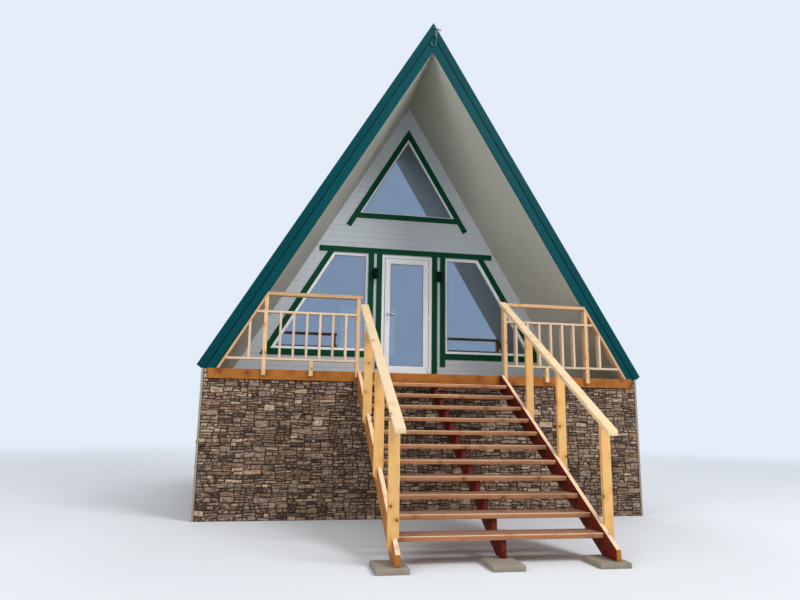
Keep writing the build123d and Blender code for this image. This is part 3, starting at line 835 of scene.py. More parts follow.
def stones_in(rng, left, low, wide, high):
    """Splits a panel into the rectangles of its stones."""
    s = sizes()
    smallest_area, thin, short, shallow = 0.0032, 0.034, 0.085, 0.05
    kept_share, longest_shape = 0.34, 2.7
    fits = wide < s.stone_wide and high < s.stone_high
    small = wide * high < smallest_area or high < thin
    if fits and (small or rng.random() < kept_share):
        return [(left, low, wide, high)]
    part = rng.uniform(0.36, 0.64)
    if wide > longest_shape * high and wide > short:
        cut = wide * part
        first = stones_in(rng, left, low, cut, high)
        return first + stones_in(rng, left + cut, low, wide - cut, high)
    if high < shallow:
        return [(left, low, wide, high)]
    cut = high * part
    first = stones_in(rng, left, low, wide, cut)
    return first + stones_in(rng, left, low + cut, wide, high - cut)


def stone_wall(rng, wide, high):
    """The stones of one wall, panel by panel, each second row moved by half a panel."""
    s = sizes()
    sliver = 0.01
    stones = []
    row = low = 0
    while low < high - sliver:
        row_high = min(s.panel_high, high - low)
        left = 0
        step = s.panel_wide * (0.5 if row % 2 else 1.0)
        while left < wide - sliver:
            panel = min(step, wide - left)
            stones += stones_in(rng, left, low, panel, row_high)
            left += panel
            step = s.panel_wide
        low += row_high
        row += 1
    return stones


def add_stones(name, corner, run, out, length, high, seed, more=()):
    """Clads one wall: corner is its lower left corner seen from outside, run the way along it."""
    rng = random.Random(seed)
    noise.seed_set(seed)
    whole = bmesh.new()
    mesh = bpy.data.meshes.new(name + "_row")
    stones = stone_wall(rng, length, high) + list(more)
    batch = 60
    for first in range(0, len(stones), batch):
        bm = bmesh.new()
        for stone in stones[first:first + batch]:
            add_stone(bm, rng, *stone)
        bm.to_mesh(mesh)
        bm.free()
        whole.from_mesh(mesh)
    bpy.data.meshes.remove(mesh)
    top = max(low + tall for _, low, _, tall in stones)
    bends_along, bends_up, ripples = 3.1, 7.0, 3.3
    bend, ripple, sunk = 0.017, 0.0095, 0.003
    for vert in whole.verts:
        place = corner + Vector((vert.co.x * bends_along, vert.co.y * bends_up, 0))
        shift = noise.noise_vector(place) * bend + noise.noise_vector(place * ripples) * ripple
        vert.co.x = max(0.0, min(vert.co.x + shift.x, length))
        vert.co.y = max(0.0, min(vert.co.y + shift.y, top))
    turn = Matrix((run, UP, out)).transposed().to_4x4()
    bmesh.ops.transform(whole, matrix=Matrix.Translation(corner - out * sunk) @ turn, verts=whole.verts)
    add_piece(whole, name, ["ledge stone"])


def add_stone(bm, rng, left, low, wide, tall):
    """Draws a square grid out into one stone with slanted corners, broken edges and a chipped face."""
    s = sizes()
    layers = bm.verts.layers.float
    tone = layers.get("tone") or layers.new("tone")
    relief = layers.get("relief") or layers.new("relief")
    columns, rows = 5 if wide > 0.09 else 4, 4 if tall > 0.05 else 3
    verts = bmesh.ops.create_grid(bm, x_segments=columns, y_segments=rows, size=0.5)["verts"]
    reach = Vector((min(0.007, wide * 0.1), min(0.005, tall * 0.1)))
    corners = [Vector((rng.uniform(-reach.x, reach.x), rng.uniform(-reach.y, reach.y))) for _ in range(4)]
    inner = Vector((0.5 - min(s.stone_side / wide, 0.28), 0.5 - min(s.stone_side / tall, 0.28)))
    rise = rng.choice((0.3, 0.45, 0.55, 0.7, 1.0))
    lean = Vector((rng.uniform(-0.4, 0.4), rng.uniform(-0.2, 0.5)))
    shade = rng.random()
    column = sorted({round(vert.co.x, 3) for vert in verts})
    row = sorted({round(vert.co.y, 3) for vert in verts})
    for vert in verts:
        u, v = vert.co.x, vert.co.y
        rim = abs(u) > 0.49 or abs(v) > 0.49
        u = math.copysign(inner.x, u) if round(u, 3) in (column[1], column[-2]) else u
        v = math.copysign(inner.y, v) if round(v, 3) in (row[1], row[-2]) else v
        low_edge = corners[0].lerp(corners[1], u + 0.5)
        slant = low_edge.lerp(corners[2].lerp(corners[3], u + 0.5), v + 0.5)
        vert.co.x = left + wide / 2 + u * (wide - s.stone_joint) + slant.x + rng.uniform(-0.002, 0.002)
        vert.co.y = low + tall / 2 + v * (tall - s.stone_joint) + slant.y + rng.uniform(-0.0015, 0.0015)
        chips = rng.uniform(-0.2, 0.16) + lean.x * u + lean.y * v
        vert.co.z = 0 if rim else rise * s.stone_proud * min(0.84 + chips, 1.0)
        vert[tone] = shade
        vert[relief] = 0 if rim else (0.75 + chips) * (0.4 + 0.6 * rise)


def board_face(node, outward, cut_way, start, pitch, joint, joint_deep, name, finish_name):
    """A copy of a wall or lining whose outer faces are cut into courses with sunk joints."""
    bm = copy_node(node)
    reach = [vert.co.dot(cut_way) for vert in bm.verts]
    place = start + pitch * math.ceil((min(reach) - start) / pitch + 0.001)
    while place < max(reach) - 0.001:
        geometry = list(bm.verts) + list(bm.edges) + list(bm.faces)
        cut = bmesh.ops.bisect_plane(bm, geom=geometry, dist=1e-5, plane_co=cut_way * place, plane_no=cut_way)
        for edge in of_kind(bmesh.types.BMEdge, cut["geom_cut"]):
            edge.seam = all(abs(face.normal.dot(outward)) > 0.99 for face in edge.link_faces)
        place += pitch
    flatten(bm, {"SEAM"})
    bm.normal_update()
    faces = [face for face in bm.faces if face.normal.dot(outward) > 0.99]
    bmesh.ops.inset_individual(bm, faces=faces, thickness=joint, depth=joint_deep, use_even_offset=True)
    add_piece(bm, name, [finish_name], replaced=[node])


def dress_copy(node, finishes, edge, segments=1, seed=None, choose=None):
    """Stands a copy with softened edges for a CAD node, with the grain of its boards if a seed is given.

    With several finishes, choose gives a face's finish number from its normal."""
    bm = copy_node(node)
    flatten(bm)
    soften(bm, edge, segments)
    if seed is not None:
        set_grain(bm, seed)
    if choose:
        bm.normal_update()
        for face in bm.faces:
            face.material_index = choose(face.normal)
    add_piece(bm, node + ("_finished" if seed is None else "_boards"), finishes, replaced=[node])


class CabinOperator:
    """What the operators share."""

    bl_options = {"REGISTER", "UNDO"}

    def execute(self, context):
        self.make()
        return {"FINISHED"}


class CABIN_OT_stage(CabinOperator, bpy.types.Operator):
    """Adds the floor, the soft studio light and the camera"""

    bl_idname = "cabin.stage"
    bl_label = "Stage"

    def make(self):
        bpy.context.scene.view_settings.view_transform = "Standard"
        self.add_floor()
        self.add_world()
        self.add_light("key", (9.0, -14.0, 15.0), 7.0, 2300)
        self.add_light("fill", (-13.0, -12.0, 9.0), 9.0, 900)
        self.add_light("back", (2.0, 16.0, 12.0), 9.0, 900)
        self.add_camera()

    def add_floor(self):
        bm = bmesh.new()
        bmesh.ops.create_circle(bm, cap_ends=True, segments=96, radius=60)
        mesh = bpy.data.meshes.new("studio_floor")
        bm.to_mesh(mesh)
        bm.free()
        s = Shader("studio floor")
        place = s.place()
        s.finish(base_color=s.shade(tint("floor"), 0.98 + s.noise(place, 0.6, 3) * 0.04), roughness=0.9)
        reach = s.vectors("LENGTH", place, output="Value")
        far = s.node("ShaderNodeEmission", None, {"Color": tint("backdrop")}, "Emission")
        near = Wire(s, s.surface.outputs["BSDF"])
        self.blend(s, s.smooth(reach, 9.0, 26.0) * self.seen(s), near, far, "Material Output")
        mesh.materials.append(s.owner)
        add_object("studio_floor", mesh)

    def seen(self, s):
        """1 for the rays that the camera, a gloss or a pane sees, and 0 for the rays that light."""
        names = ("Is Camera Ray", "Is Glossy Ray", "Is Transmission Ray")
        rays = [s.node("ShaderNodeLightPath", output=name) for name in names]
        return rays[0].highest(rays[1]).highest(rays[2])

    def blend(self, s, amount, first, second, output):
        mixed = s.node("ShaderNodeMixShader", None, {0: amount, 1: first, 2: second})
        s.plug(s.tree.nodes[output].inputs["Surface"], mixed)

    def add_world(self):
        """Even light from all round, and a pale backdrop for the camera and in the glass."""
        world = bpy.data.worlds.new("studio")
        bpy.context.scene.world = world
        s = Shader("studio", world)
        light = s.tree.nodes["Background"]
        light.inputs["Color"].default_value = (0.93, 0.96, 1.0, 1)
        light.inputs["Strength"].default_value = 0.62
        pale = s.node("ShaderNodeBackground", None, {"Color": tint("backdrop")})
        self.blend(s, self.seen(s), Wire(s, light.outputs[0]), pale, "World Output")

    def add_light(self, name, place, wide, power):
        """A square soft box that looks at the middle of the cabin."""
        data = bpy.data.lights.new(name, "AREA")
        data.shape = "SQUARE"
        data.size = wide
        data.energy = power
        light = add_object(name, data)
        light.location = place
        light.rotation_euler = (Vector((0, 0, 2.5)) - light.location).to_track_quat("-Z", "Y").to_euler()

    def add_camera(self):
        """The camera stands to the left of the stair, low, and looks up at the gable."""
        yaw, pitch, roll = math.radians(10.520), math.radians(10.810), math.radians(0.789)
        ahead = Vector((math.sin(yaw) * math.cos(pitch), math.cos(yaw) * math.cos(pitch), math.sin(pitch)))
        level = Vector((math.cos(yaw), -math.sin(yaw), 0))
        upright = level.cross(ahead)
        right = level * math.cos(roll) + upright * math.sin(roll)
        up = upright * math.cos(roll) - level * math.sin(roll)
        data = bpy.data.cameras.new("camera")
        data.lens = 28.97
        data.sensor_width = 36
        camera = add_object("camera", data)
        place = Matrix((right, up, -ahead)).transposed().to_4x4()
        place.translation = Vector((-2.050, -10.5365, 1.225))
        camera.matrix_world = place
        bpy.context.scene.camera = camera


class CABIN_OT_base(CabinOperator, bpy.types.Operator):
    """Clads the base with ledge stones between pale corner strips"""

    bl_idname = "cabin.base"
    bl_label = "Stone base"

    def make(self):
        low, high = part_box("base_wall_front")
        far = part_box("base_wall_back")[1].y
        strip = sizes().corner_wide
        dress("stone joints", *("base_wall_" + side for side in ("front", "back", "left", "right")))
        wide = 2 * high.x - 2 * strip
        deep = far - low.y - 2 * strip
        top = DECK - 0.004
        front_top = high.z - 0.004
        ends = self.end_stones(wide, high.z, top, high.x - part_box("fascia_front")[1].x - strip)
        walls = (
            ("front", (-high.x + strip, low.y, 0), RIGHT, -BACK, wide, front_top, 11, ends),
            ("back", (high.x - strip, far, 0), -RIGHT, BACK, wide, front_top, 12, ends),
            ("left", (-high.x, far - strip, 0), -BACK, -RIGHT, deep, top, 13),
            ("right", (high.x, low.y + strip, 0), BACK, RIGHT, deep, top, 14),
        )
        for side, corner, *rest in walls:
            add_stones("stones_" + side, Vector(corner), *rest)
        self.add_corners(high.x, low.y, far, top)
        self.add_upstands(high.x, low.y, far, high.z, top)

    def end_stones(self, wide, low, high, reach):
        """Small stones beside the ends of the deck's edge board."""
        tall = (high - low) / 2
        return [(left, low + row * tall, reach, tall) for left in (0, wide - reach) for row in (0, 1)]

    def add_corners(self, x, front, back, top):
        wide, proud = sizes().corner_wide, 0.012
        bm = bmesh.new()
        for side in (-1, 1):
            x0, x1 = sorted((side * (x - wide), side * (x + proud)))
            for y, way in ((front, -1), (back, 1)):
                y0, y1 = sorted((y - way * wide, y + way * proud))
                add_block(bm, (x0, y0, 0), (x1, y1, top))
        soften(bm, 0.004, 2)
        add_piece(bm, "corner_strips", ["corner strip"])

    def add_upstands(self, x, front, back, low, top):
        """The clad upstands between the base walls and the eaves, beside the deck's edge boards."""
        bm = bmesh.new()
        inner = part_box("fascia_right")[1].x + 0.0005
        for side in (-1, 1):
            x0, x1 = sorted((side * inner, side * x))
            add_block(bm, (x0, front, low - 0.002), (x1, back, top))
        soften(bm, 0.002)
        add_piece(bm, "base_upstands", ["stone joints"])


class CABIN_OT_platform(CabinOperator, bpy.types.Operator):
    """Lays the deck and floor boards and puts stained boards on the deck's edge"""

    bl_idname = "cabin.platform"
    bl_label = "Deck platform"

    def make(self):
        s = sizes()
        dress("sawn timber", "floor_frame")
        for seed, side in enumerate(("front", "back", "left", "right"), 31):
            dress_copy("fascia_" + side, ["stained boards"], s.edge, 1, seed)
        low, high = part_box("floor_boards")
        half_joint = s.floor_joint / 2
        bm = bmesh.new()
        y = low.y
        while y < high.y - 0.02:
            end = min(y + s.floor_board, high.y)
            add_block(bm, (low.x, y + half_joint, low.z), (high.x, end - half_joint, high.z))
            y += s.floor_board
        soften(bm, 0.002)
        set_grain(bm, 41)
        add_piece(bm, "deck_and_floor_boards", ["deck boards"], replaced=["floor_boards"])


class CABIN_OT_roof(CabinOperator, bpy.types.Operator):
    """Adds the ribs and screws of the roof sheets, the verges and the ridge cap"""

    bl_idname = "cabin.roof"
    bl_label = "Metal roof"

    def make(self):
        dress("sawn timber", "roof_slope_left", "roof_slope_right")
        dress("moss green coated steel", "roof_sheet_left", "roof_sheet_right", "ridge_cap")
        for name, side in SIDES:
            self.add_ribs(name, side)
            for end in ("front", "back"):
                node = "verge_" + end + "_" + name
                dress_copy(node, ["folded verge steel"], 0.002)
        self.add_screws()

    def ribs(self):
        """How far back each rib stands."""
        pitch = sizes().rib_pitch
        room = SHEET_HIGH.y - SHEET_LOW.y
        count = int(room / pitch)
        first = SHEET_LOW.y + (room - (count - 1) * pitch) / 2
        return [first + i * pitch for i in range(count)]

    def add_ribs(self, name, side):
        bm = bmesh.new()
        out = to_side(side, SLOPE_OUT)
        crown, narrower = 0.0006, 0.008
        middle = (SHEET_DEPTH + crown) / 2
        for y in self.ribs():
            top = on_roof(side, CAP_REACH + 0.001, middle, y)
            foot = on_roof(side, SLOPE_LONG - 0.006, middle, y)
            for vert in add_bar(bm, top, foot, sizes().rib_wide, SHEET_DEPTH - crown, out):
                if (vert.co - top).dot(out) > 0:
                    vert.co.y += narrower if vert.co.y < y else -narrower
        add_piece(bm, "roof_ribs_" + name, ["moss green coated steel"])

    def add_screws(self):
        """Eight rows of screws with washers between each third rib and the next, and one on the cap."""
        bm = bmesh.new()
        for side in (-1, 1):
            out = to_side(side, SLOPE_OUT)
            for rib in self.ribs()[:-1:3]:
                y = rib + sizes().rib_pitch / 2
                for row in range(8):
                    along = 0.28 + row * 0.8
                    if along < SLOPE_LONG - 0.04:
                        add_rod(bm, on_roof(side, along, SHEET_DEPTH - 0.001, y), 0.008, 0.003, out, 10)
                        add_rod(bm, on_roof(side, along, SHEET_DEPTH - 0.004, y), 0.005, 0.006, out, 6)
                add_rod(bm, on_roof(side, CAP_REACH - 0.03, 0, y), 0.006, 0.006, out, 6)
        add_piece(bm, "roof_screws", ["moss green coated steel"])


class CABIN_OT_lining(CabinOperator, bpy.types.Operator):
    """Cuts the white lining under the roof into planks that run from front to back"""

    bl_idname = "cabin.lining"
    bl_label = "Soffit planks"

    def make(self):
        s = sizes()
        for name, side in SIDES:
            board_face("roof_lining_" + name, -to_side(side, SLOPE_OUT), to_side(side, SLOPE_DOWN), 0.03,
                       s.plank, s.seam, s.seam_deep, "soffit_" + name, "white soffit planks")


class CABIN_OT_walls(CabinOperator, bpy.types.Operator):
    """Sides the gable walls with courses of white siding and lines the loft floor with boards"""

    bl_idname = "cabin.walls"
    bl_label = "Wall siding"

    def make(self):
        s = sizes()
        for node in ("front_wall_left", "front_wall_right", "front_wall_gable", "back_wall"):
            board_face(node, BACK if node == "back_wall" else -BACK, UP, DECK, s.course, s.joint,
                       s.joint_deep, node + "_siding", "white siding")
        self.add_loft()

    def add_loft(self):
        """Boards over and under the loft's joists, with a joist along each end."""
        low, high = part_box("loft_floor")
        pitch, thick, joist = 0.14, 0.025, 0.03
        under, over = low.z + thick, high.z - thick
        bm = bmesh.new()
        for z0, z1 in ((low.z, under), (over, high.z)):
            reach = slope_x(LINING_DEPTH, z1) - 0.004
            first = -reach
            while first < reach - 0.02:
                last = min(first + pitch, reach)
                add_block(bm, (first + 0.001, low.y, z0), (last - 0.001, high.y, z1))
                first += pitch
        soften(bm, 0.003)
        edge = slope_x(LINING_DEPTH, high.z)
        for i in range(-2, 3):
            x = max(min(i * (high.x - 0.2) / 2, edge - 0.05), -edge + 0.05)
            add_block(bm, (x - joist, low.y, under), (x + joist, high.y, over))
        end_joist = 0.04
        for y in (low.y, high.y - end_joist):
            add_block(bm, (-edge + 0.01, y, under), (edge - 0.01, y + end_joist, over))
        set_grain(bm, 61)
        add_piece(bm, "loft_boards", ["post pine"], replaced=["loft_floor"])


class CABIN_OT_windows(CabinOperator, bpy.types.Operator):
    """Makes the window frames with their beads and gaskets and glazes them"""

    bl_idname = "cabin.windows"
    bl_label = "Windows"

    def make(self):
        dress("reflective glass", "front_panes", "back_panes")
        low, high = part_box("window_frame_right")
        lean = (high.z - low.z) / math.tan(PITCH)
        right = [(low.x, low.z), (high.x, low.z), (high.x - lean, high.z), (low.x, high.z)]
        left = [(-x, z) for x, z in reversed(right)]
        low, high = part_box("window_frame_gable")
        gable = [(low.x, low.z), (high.x, low.z), (0, high.z)]
        half = 0.7
        back = rectangle(-half, half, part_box("back_window_frames")[0].z, HEAD)
        wide, narrow = 0.048, 0.030
        self.add_frames("window_frame_left", "window_frame_left_profile", (left, wide))
        self.add_frames("window_frame_right", "window_frame_right_profile", (right, wide))
        self.add_frames("window_frame_gable", "window_frame_gable_profile", (gable, narrow))
        self.add_frames("back_window_frames", "back_window_profiles", (back, wide), (gable, narrow))

    def add_frames(self, node, name, *windows):
        """The frames of some windows, each given as its outline and its face's width."""
        y0, y1 = (corner.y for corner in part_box(node))
        pane0, pane1 = (corner.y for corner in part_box("front_panes"))
        middle, half = (y0 + y1) / 2, (pane1 - pane0) / 2
        bm = bmesh.new()
        for outline, face in windows:
            add_ring(bm, glazed_profile(outline, shrunk(outline, face), y0, y1, middle - half, middle + half))
        bmesh.ops.recalc_face_normals(bm, faces=bm.faces)
        add_piece(bm, name, ["white window profile", "rubber gasket"], replaced=[node])


class CABIN_OT_door(CabinOperator, bpy.types.Operator):
    """Makes the door's frame, leaf, hinges and handles"""

    bl_idname = "cabin.door"
    bl_label = "Door"

    gap = 0.009
    knuckle = 0.045

    def make(self):
        dress("reflective glass", "door_pane")
        low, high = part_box("door_leaf")
        self.leaf_half = HINGE.x - self.gap / 2
        self.leaf_back = high.y
        self.hinges = (low.z + 0.17, (low.z + high.z) / 2, high.z - 0.17)
        self.add_leaf(low.z, high.z)
        self.add_frame()
        self.add_handles()

    def add_leaf(self, low, high):
        bm = bmesh.new()
        pane0, pane1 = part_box("door_pane")
        outline = rectangle(-self.leaf_half, self.leaf_half, low, high)
        opening = rectangle(pane0.x, pane1.x, pane0.z, pane1.z)
        add_ring(bm, glazed_profile(outline, opening, LEAF_FACE, self.leaf_back, pane0.y, pane1.y))
        bmesh.ops.recalc_face_normals(bm, faces=bm.faces)
        self.add_knuckles(bm, -1)
        add_piece(bm, "door_leaf_profile", ["white window profile", "rubber gasket"],
                  "door", ["door_leaf"])

    def add_knuckles(self, bm, side):
        """The hinge barrels and plates on the frame for side 1, on the leaf for side -1."""
        half = self.knuckle / 2
        for height in self.hinges:
            z = height - side * (half + 0.0002)
            add_rod(bm, (HINGE.x, HINGE.y, z), 0.008, self.knuckle, UP, 20, 0.0012)
            x0, x1 = sorted((HINGE.x, HINGE.x + side * 0.028))
            plate = add_block(bm, (x0, HINGE.y, z - half), (x1, LEAF_FACE, z + half))
            bevel(bm, edges_of(plate), 0.002)

    def add_frame(self):
        """A frame with a sill, a pale seal round the leaf and a stop behind it."""
        low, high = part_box("door_frame")
        half, sill, head = 0.43, 0.025, 0.05
        inner = self.leaf_half + self.gap
        outline = rectangle(-half, half, low.z, HEAD)
        opening = rectangle(-inner, inner, low.z + sill, HEAD - head)
        edge, stop = shrunk(opening, -0.002), shrunk(opening, 0.022)
        stop_y = high.y - 0.0095
        bm = bmesh.new()
        add_ring(bm, [
            (outline, LEAF_FACE, 0),
            (edge, LEAF_FACE, 0),
            (opening, LEAF_FACE + 0.002, 1),
            (opening, stop_y, 1),
            (stop, stop_y, 0),
            (stop, high.y, 0),
            (outline, high.y, 0),
        ])
        bmesh.ops.recalc_face_normals(bm, faces=bm.faces)
        self.add_knuckles(bm, 1)
        add_piece(bm, "door_frame_profile", ["white window profile", "pale door seal"],
                  replaced=["door_frame"])

    def add_handles(self):
        """A long plate, a neck, a lever and a lock on each face of the leaf."""
        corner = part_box("door_handles")[0]
        x, z = corner.x + 0.016, corner.z + 0.16
        plate, plate_half, plate_high = 0.008, 0.015, 0.23
        reach, lever, lever_half, lever_long = 0.045, 0.012, 0.009, 0.115
        faces = ((LEAF_FACE, -1), (self.leaf_back, 1))
        bm = bmesh.new()
        for face, way in faces:
            y0, y1 = sorted((face, face + way * plate))
            add_block(bm, (x - plate_half, y0, corner.z), (x + plate_half, y1, corner.z + plate_high))
            y0, y1 = sorted((face + way * reach, face + way * (reach - lever)))
            add_block(bm, (x - 0.01, y0, z - lever_half), (x + lever_long, y1, z + lever_half))
        soften(bm, 0.0035, 3)
        for face in bm.faces:
            depth = face.calc_center_median().y
            face.material_index = 1 if LEAF_FACE - 0.009 < depth < self.leaf_back + 0.009 else 0
        for face, way in faces:
            add_rod(bm, (x, face + way * 0.02, z), 0.009, 0.036, BACK, 20, 0.001)
            add_rod(bm, (x, face + way * 0.01, z - 0.085), 0.0085, 0.006, BACK, 20, 0.001)
            for lift in (-0.145, 0.055):
                add_rod(bm, (x, face + way * 0.0085, z + lift), 0.0035, 0.002, BACK, 10)
        add_piece(bm, "door_handle_set", ["satin steel", "white window profile"],
                  "door", ["door_handles"])


class CABIN_OT_trims(CabinOperator, bpy.types.Operator):
    """Puts green painted boards round the windows and the door"""

    bl_idname = "cabin.trims"
    bl_label = "Green trim boards"

    def make(self):
        places = ("header", "door_boards", "window_left", "window_right", "gable_window", "back_windows")
        for seed, place in enumerate(places, 71):
            dress_copy("trim_" + place, ["green trim paint"], 0.0022, 1, seed)


class CABIN_OT_lamps(CabinOperator, bpy.types.Operator):
    """Makes the two wall lamps that shine up and down, and the bracket under the ridge"""

    bl_idname = "cabin.lamps"
    bl_label = "Wall lamps and bracket"

    def make(self):
        low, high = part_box("wall_lamps")
        radius = 0.04
        bm = bmesh.new()
        for side in (-1, 1):
            centre = Vector((side * (high.x - radius), low.y + radius, (low.z + high.z) / 2))
            self.add_lamp(bm, centre, radius, (high.z - low.z) / 2, high.y)
        add_piece(bm, "up_and_down_lamps", ["black lamp metal", "frosted lamp lens"],
                  replaced=["wall_lamps"])
        self.add_bracket()

    def add_lamp(self, bm, centre, radius, half, wall_y):
        """A tube that is open at both ends over a sunk lens, on a short arm with a wall plate."""
        sunk = half - 0.018
        others = set(bm.verts)
        profile = [(0, sunk), (0.029, sunk), (0.0335, sunk - 0.002), (0.0345, half - 0.001), (0.037, half),
                   (radius, half - 0.003), (radius, 0.012), (radius - 0.002, 0.008)]
        profile += [(r, -z) for r, z in reversed(profile)]
        verts = [bm.verts.new((r, 0, z)) for r, z in profile]
        edges = [bm.edges.new(pair) for pair in zip(verts, verts[1:])]
        bmesh.ops.spin(bm, geom=verts + edges, cent=(0, 0, 0), axis=UP, angle=2 * math.pi, steps=28,
                       use_merge=True)
        bmesh.ops.remove_doubles(bm, verts=[vert for vert in bm.verts if vert not in others], dist=MERGE)
        tube = [vert for vert in bm.verts if vert not in others]
        bmesh.ops.recalc_face_normals(bm, faces=faces_of(tube))
        for face in faces_of(tube):
            middle = face.calc_center_median()
            if abs(middle.z) > sunk - 0.004 and middle.xy.length < 0.03:
                face.material_index = 1
        bmesh.ops.translate(bm, verts=tube, vec=centre)
        x, y, z = centre
        arm = add_block(bm, (x - 0.018, y + 0.02, z - 0.036), (x + 0.018, wall_y - 0.006, z + 0.036))
        plate = add_block(bm, (x - 0.024, wall_y - 0.008, z - 0.048), (x + 0.024, wall_y, z + 0.048))
        bevel(bm, edges_of(arm + plate), 0.003, 2)

    def add_bracket(self):
        """A steel strap on the verge with a hook under it and a short arm to the right."""
        y = ROOF_FRONT
        bm = bmesh.new()
        add_block(bm, (0.026, y - 0.004, 6.965), (0.06, y + 0.006, 7.075))
        arm_end = Vector((0.1, y - 0.008, 7.072))
        add_bar(bm, Vector((-0.012, y - 0.008, 7.105)), arm_end, 0.014, 0.012, -BACK)
        soften(bm, 0.0015)
        for z in (6.985, 7.055):
            add_rod(bm, (0.043, y - 0.004, z), 0.007, 0.006, BACK, 8)
        add_rod(bm, arm_end, 0.012, 0.014, BACK, 12, 0.002)
        self.add_hook(bm, Vector((0.0, y - 0.012, 6.835)))
        add_piece(bm, "gable_bracket", ["dull zinc"])

    def add_hook(self, bm, centre):
        """A hook of round bar: a shank under the strap, over half a turn and a raised tip."""
        radius, bar, shank = 0.036, 0.0075, 0.14
        start = centre + RIGHT * radius
        rim = bmesh.ops.create_circle(
            bm, cap_ends=True, segments=10, radius=bar, matrix=Matrix.Translation(start)
        )["verts"]
        bmesh.ops.spin(bm, geom=rim + edges_of(rim) + faces_of(rim), cent=centre, axis=BACK,
                       angle=math.radians(205), steps=16)
        add_rod(bm, start + UP * shank / 2, bar, shank, UP, 10)


class CABIN_OT_railings(CabinOperator, bpy.types.Operator):
    """Builds the two deck railings board by board"""

    bl_idname = "cabin.railings"
    bl_label = "Deck railings"

    def make(self):
        for name, side in SIDES:
            bm = bmesh.new()
            self.add_boards(bm)
            if side < 0:
                bmesh.ops.scale(bm, vec=(-1, 1, 1), verts=bm.verts)
                bmesh.ops.reverse_faces(bm, faces=bm.faces)
            soften(bm, sizes().edge)
            set_grain(bm, 90 + side)
            add_piece(bm, "railing_boards_" + name, ["rail pine", "railing post pine", "baluster pine"],
                      replaced=["railing_" + name])

    def add_boards(self, bm):
        """The right-hand railing: posts, rails, balusters and the batten on the verge."""
        low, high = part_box("railing_right")
        front, back = low.y, high.y
        batten_depth = LINING_DEPTH + 0.03
        top_thick, thin, post_half, baluster_half, past = 0.045, 0.028, 0.025, 0.015, 0.025
        middle_top, low_top = DECK + 0.770, DECK + 0.149
        foot_top = DECK + 0.0005
        set_back = 0.0015
        inner = low.x + post_half + past
        outer = slope_x(batten_depth, high.z - top_thick) + 0.02
        slope_cut = UP * (RIDGE - batten_depth / math.cos(PITCH))

        def add_board(finish_number, corner, far_corner):
            board = add_block(bm, corner, far_corner)
            set_finish(board, finish_number)
            return board

        for x, top in (
            (inner, high.z - top_thick),
            (outer, high.z - top_thick),
            ((inner + outer) / 2, low_top - thin),
        ):
            post = add_board(1, (x - post_half, front, foot_top), (x + post_half, back, top))
            add_board(1, (x - post_half, front, low.z), (x + post_half, FASCIA_FACE - 0.0003, foot_top))
            cut_off(bm, post, slope_cut, SLOPE_OUT)
        for number, start, y, top, thick in (
            (0, inner - post_half - past, front, high.z, top_thick),
            (2, inner + post_half, front + set_back, middle_top, thin),
            (2, inner + post_half, front + set_back, low_top, thin),
        ):
            rail = add_board(number, (start, y, top - thick), (high.x + 0.2, front + 0.09, top))
            cut_off(bm, rail, slope_cut, SLOPE_OUT)
        first, pitch = inner + 0.162, 0.172
        count = int((outer - post_half * 2 - first) // pitch) + 1
        for x in [first + i * pitch for i in range(count)] + [outer + 0.198]:
            baluster = add_board(2, (x - baluster_half, front + set_back, low_top),
                                 (x + baluster_half, front + 0.0885, middle_top - thin))
            cut_off(bm, baluster, slope_cut, SLOPE_OUT)
        self.add_batten(bm, front, back, high.z)

    def add_batten(self, bm, front, back, end):
        """The board on the lining that closes the railing, from the deck up to its top rail."""
        middle = (ROOF_FRONT + back) / 2
        top = on_roof(1, 0, LINING_DEPTH + 0.015, middle)
        batten = add_bar(bm, top, top + SLOPE_DOWN * 7, back - front, 0.03, SLOPE_OUT)
        for vert in batten:
            vert.co.y = front if vert.co.y < middle else back
        cut_off(bm, batten, UP * DECK, -UP)
        rest = next(group for group in islands(bm) if any(vert.co.z > end + 0.5 for vert in group))
        cut_off(bm, rest, UP * end, UP)


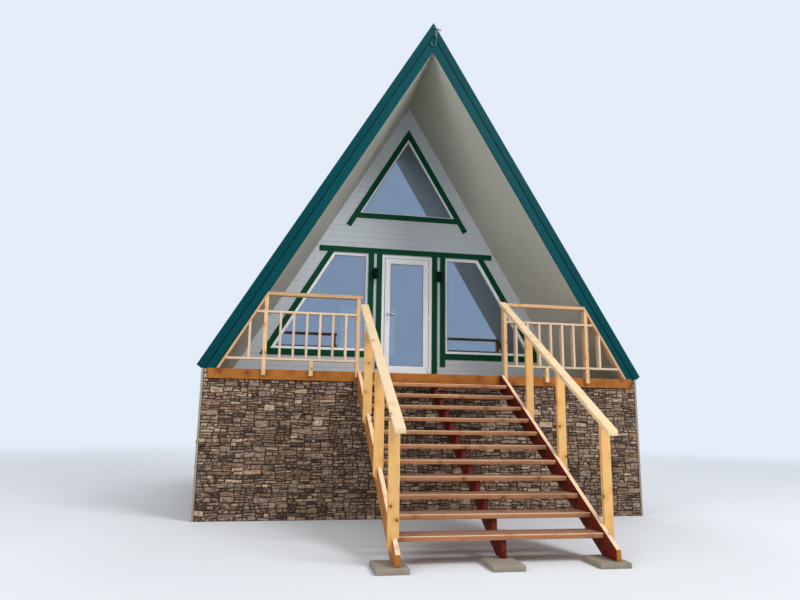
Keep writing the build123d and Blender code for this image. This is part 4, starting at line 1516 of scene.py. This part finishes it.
class CABIN_OT_stair(CabinOperator, bpy.types.Operator):
    """Makes the treads, the boards that carry them and the concrete pads"""

    bl_idname = "cabin.stair"
    bl_label = "Stair"

    def make(self):
        edge = sizes().edge
        strings = ["stained strings", "string edges", "golden string"]
        treads = ["tread boards", "tread tops", "string edges"]
        for node, finishes, width, seed, choose in (
            ("stringer_left", strings, edge, 101, self.left_string_finish),
            ("stringer_right", strings, edge, 102, self.string_finish),
            ("stair_carriage", strings[:1], edge, 103, None),
            ("stair_treads", treads, 0.005, 104, self.tread_finish),
        ):
            dress_copy(node, finishes, width, 2, seed, choose)
        self.add_screws()
        self.add_pads()

    @staticmethod
    def string_finish(normal):
        """The upper edges get a pale painted highlight, the front ends the golden of the lit stain, and the
        rest the dark red that stands in for the shade under the treads.
        """
        if normal.z > 0.5:
            return 1
        return 2 if normal.y < -0.9 else 0

    @classmethod
    def left_string_finish(cls, normal):
        """The same, but the outer side is golden too."""
        return 2 if normal.x < -0.9 else cls.string_finish(normal)

    @staticmethod
    def tread_finish(normal):
        """The tops are greyer than the fronts, and the upper edges get a pale painted highlight."""
        if normal.z > 0.95:
            return 1
        return 2 if normal.z > 0.3 else 0

    def add_screws(self):
        """Screw heads over the side boards and the middle one."""
        from_end, from_edge = 0.025, 0.05
        bm = bmesh.new()
        source = copy_node("stair_treads")
        for group in islands(source):
            x0, y0, _ = (min(vert.co[i] for vert in group) for i in range(3))
            x1, y1, z = (max(vert.co[i] for vert in group) for i in range(3))
            for y in (y0 + from_edge, y1 - from_edge):
                for x in (x0 + from_end, 0.0, x1 - from_end):
                    add_rod(bm, (x, y, z - 0.0005), 0.0055, 0.003, UP, 10)
        source.free()
        add_piece(bm, "tread_screws", ["satin steel"])

    def add_pads(self):
        """Cast pads with worn edges."""
        rng = random.Random(7)
        bm = copy_node("stair_pads")
        flatten(bm)
        soften(bm, 0.007, 2)
        edges = [edge for edge in bm.edges if edge.calc_length() > 0.2]
        bmesh.ops.subdivide_edges(bm, edges=edges, cuts=7, use_grid_fill=True)
        for vert in bm.verts:
            if vert.co.z > 0.012:
                vert.co.z -= rng.uniform(0, 0.002)
            if rng.random() < 0.12 and 0.02 < vert.co.z < 0.049:
                vert.co.z -= rng.uniform(0, 0.006)
        bmesh.ops.triangulate(bm, faces=bm.faces)
        add_piece(bm, "concrete_pads", ["pad concrete"], replaced=["stair_pads"])


class CABIN_OT_stair_rails(CabinOperator, bpy.types.Operator):
    """Makes the posts and handrails beside the stair"""

    bl_idname = "cabin.stair_rails"
    bl_label = "Stair rails"

    def make(self):
        for number, (side, _) in enumerate(SIDES):
            dress_copy("stair_posts_" + side, ["post pine"], sizes().edge, 1, 111 + number)
            dress_copy("handrail_" + side, ["handrail pine"], 0.005, 2, 121 + number)


OPERATORS = CabinOperator.__subclasses__()


class CABIN_PT_panel(bpy.types.Panel):
    """Lists the cabin's pieces"""

    bl_idname = "CABIN_PT_panel"
    bl_label = "A-frame cabin"
    bl_space_type = "VIEW_3D"
    bl_region_type = "UI"
    bl_category = "Cabin"

    def draw(self, context):
        for operator_class in OPERATORS:
            self.layout.operator(operator_class.bl_idname)


CLASSES = (CabinSizes, CabinColours, *OPERATORS, CABIN_PT_panel)


def register():
    for one in CLASSES:
        bpy.utils.register_class(one)
    bpy.types.Scene.cabin_sizes = PointerProperty(type=CabinSizes)
    bpy.types.Scene.cabin_colours = PointerProperty(type=CabinColours)


def unregister():
    del bpy.types.Scene.cabin_sizes
    del bpy.types.Scene.cabin_colours
    for one in reversed(CLASSES):
        bpy.utils.unregister_class(one)


def main():
    register()
    for one in OPERATORS:
        group, name = one.bl_idname.split(".")
        getattr(getattr(bpy.ops, group), name)()


if __name__ == "__main__":
    main()
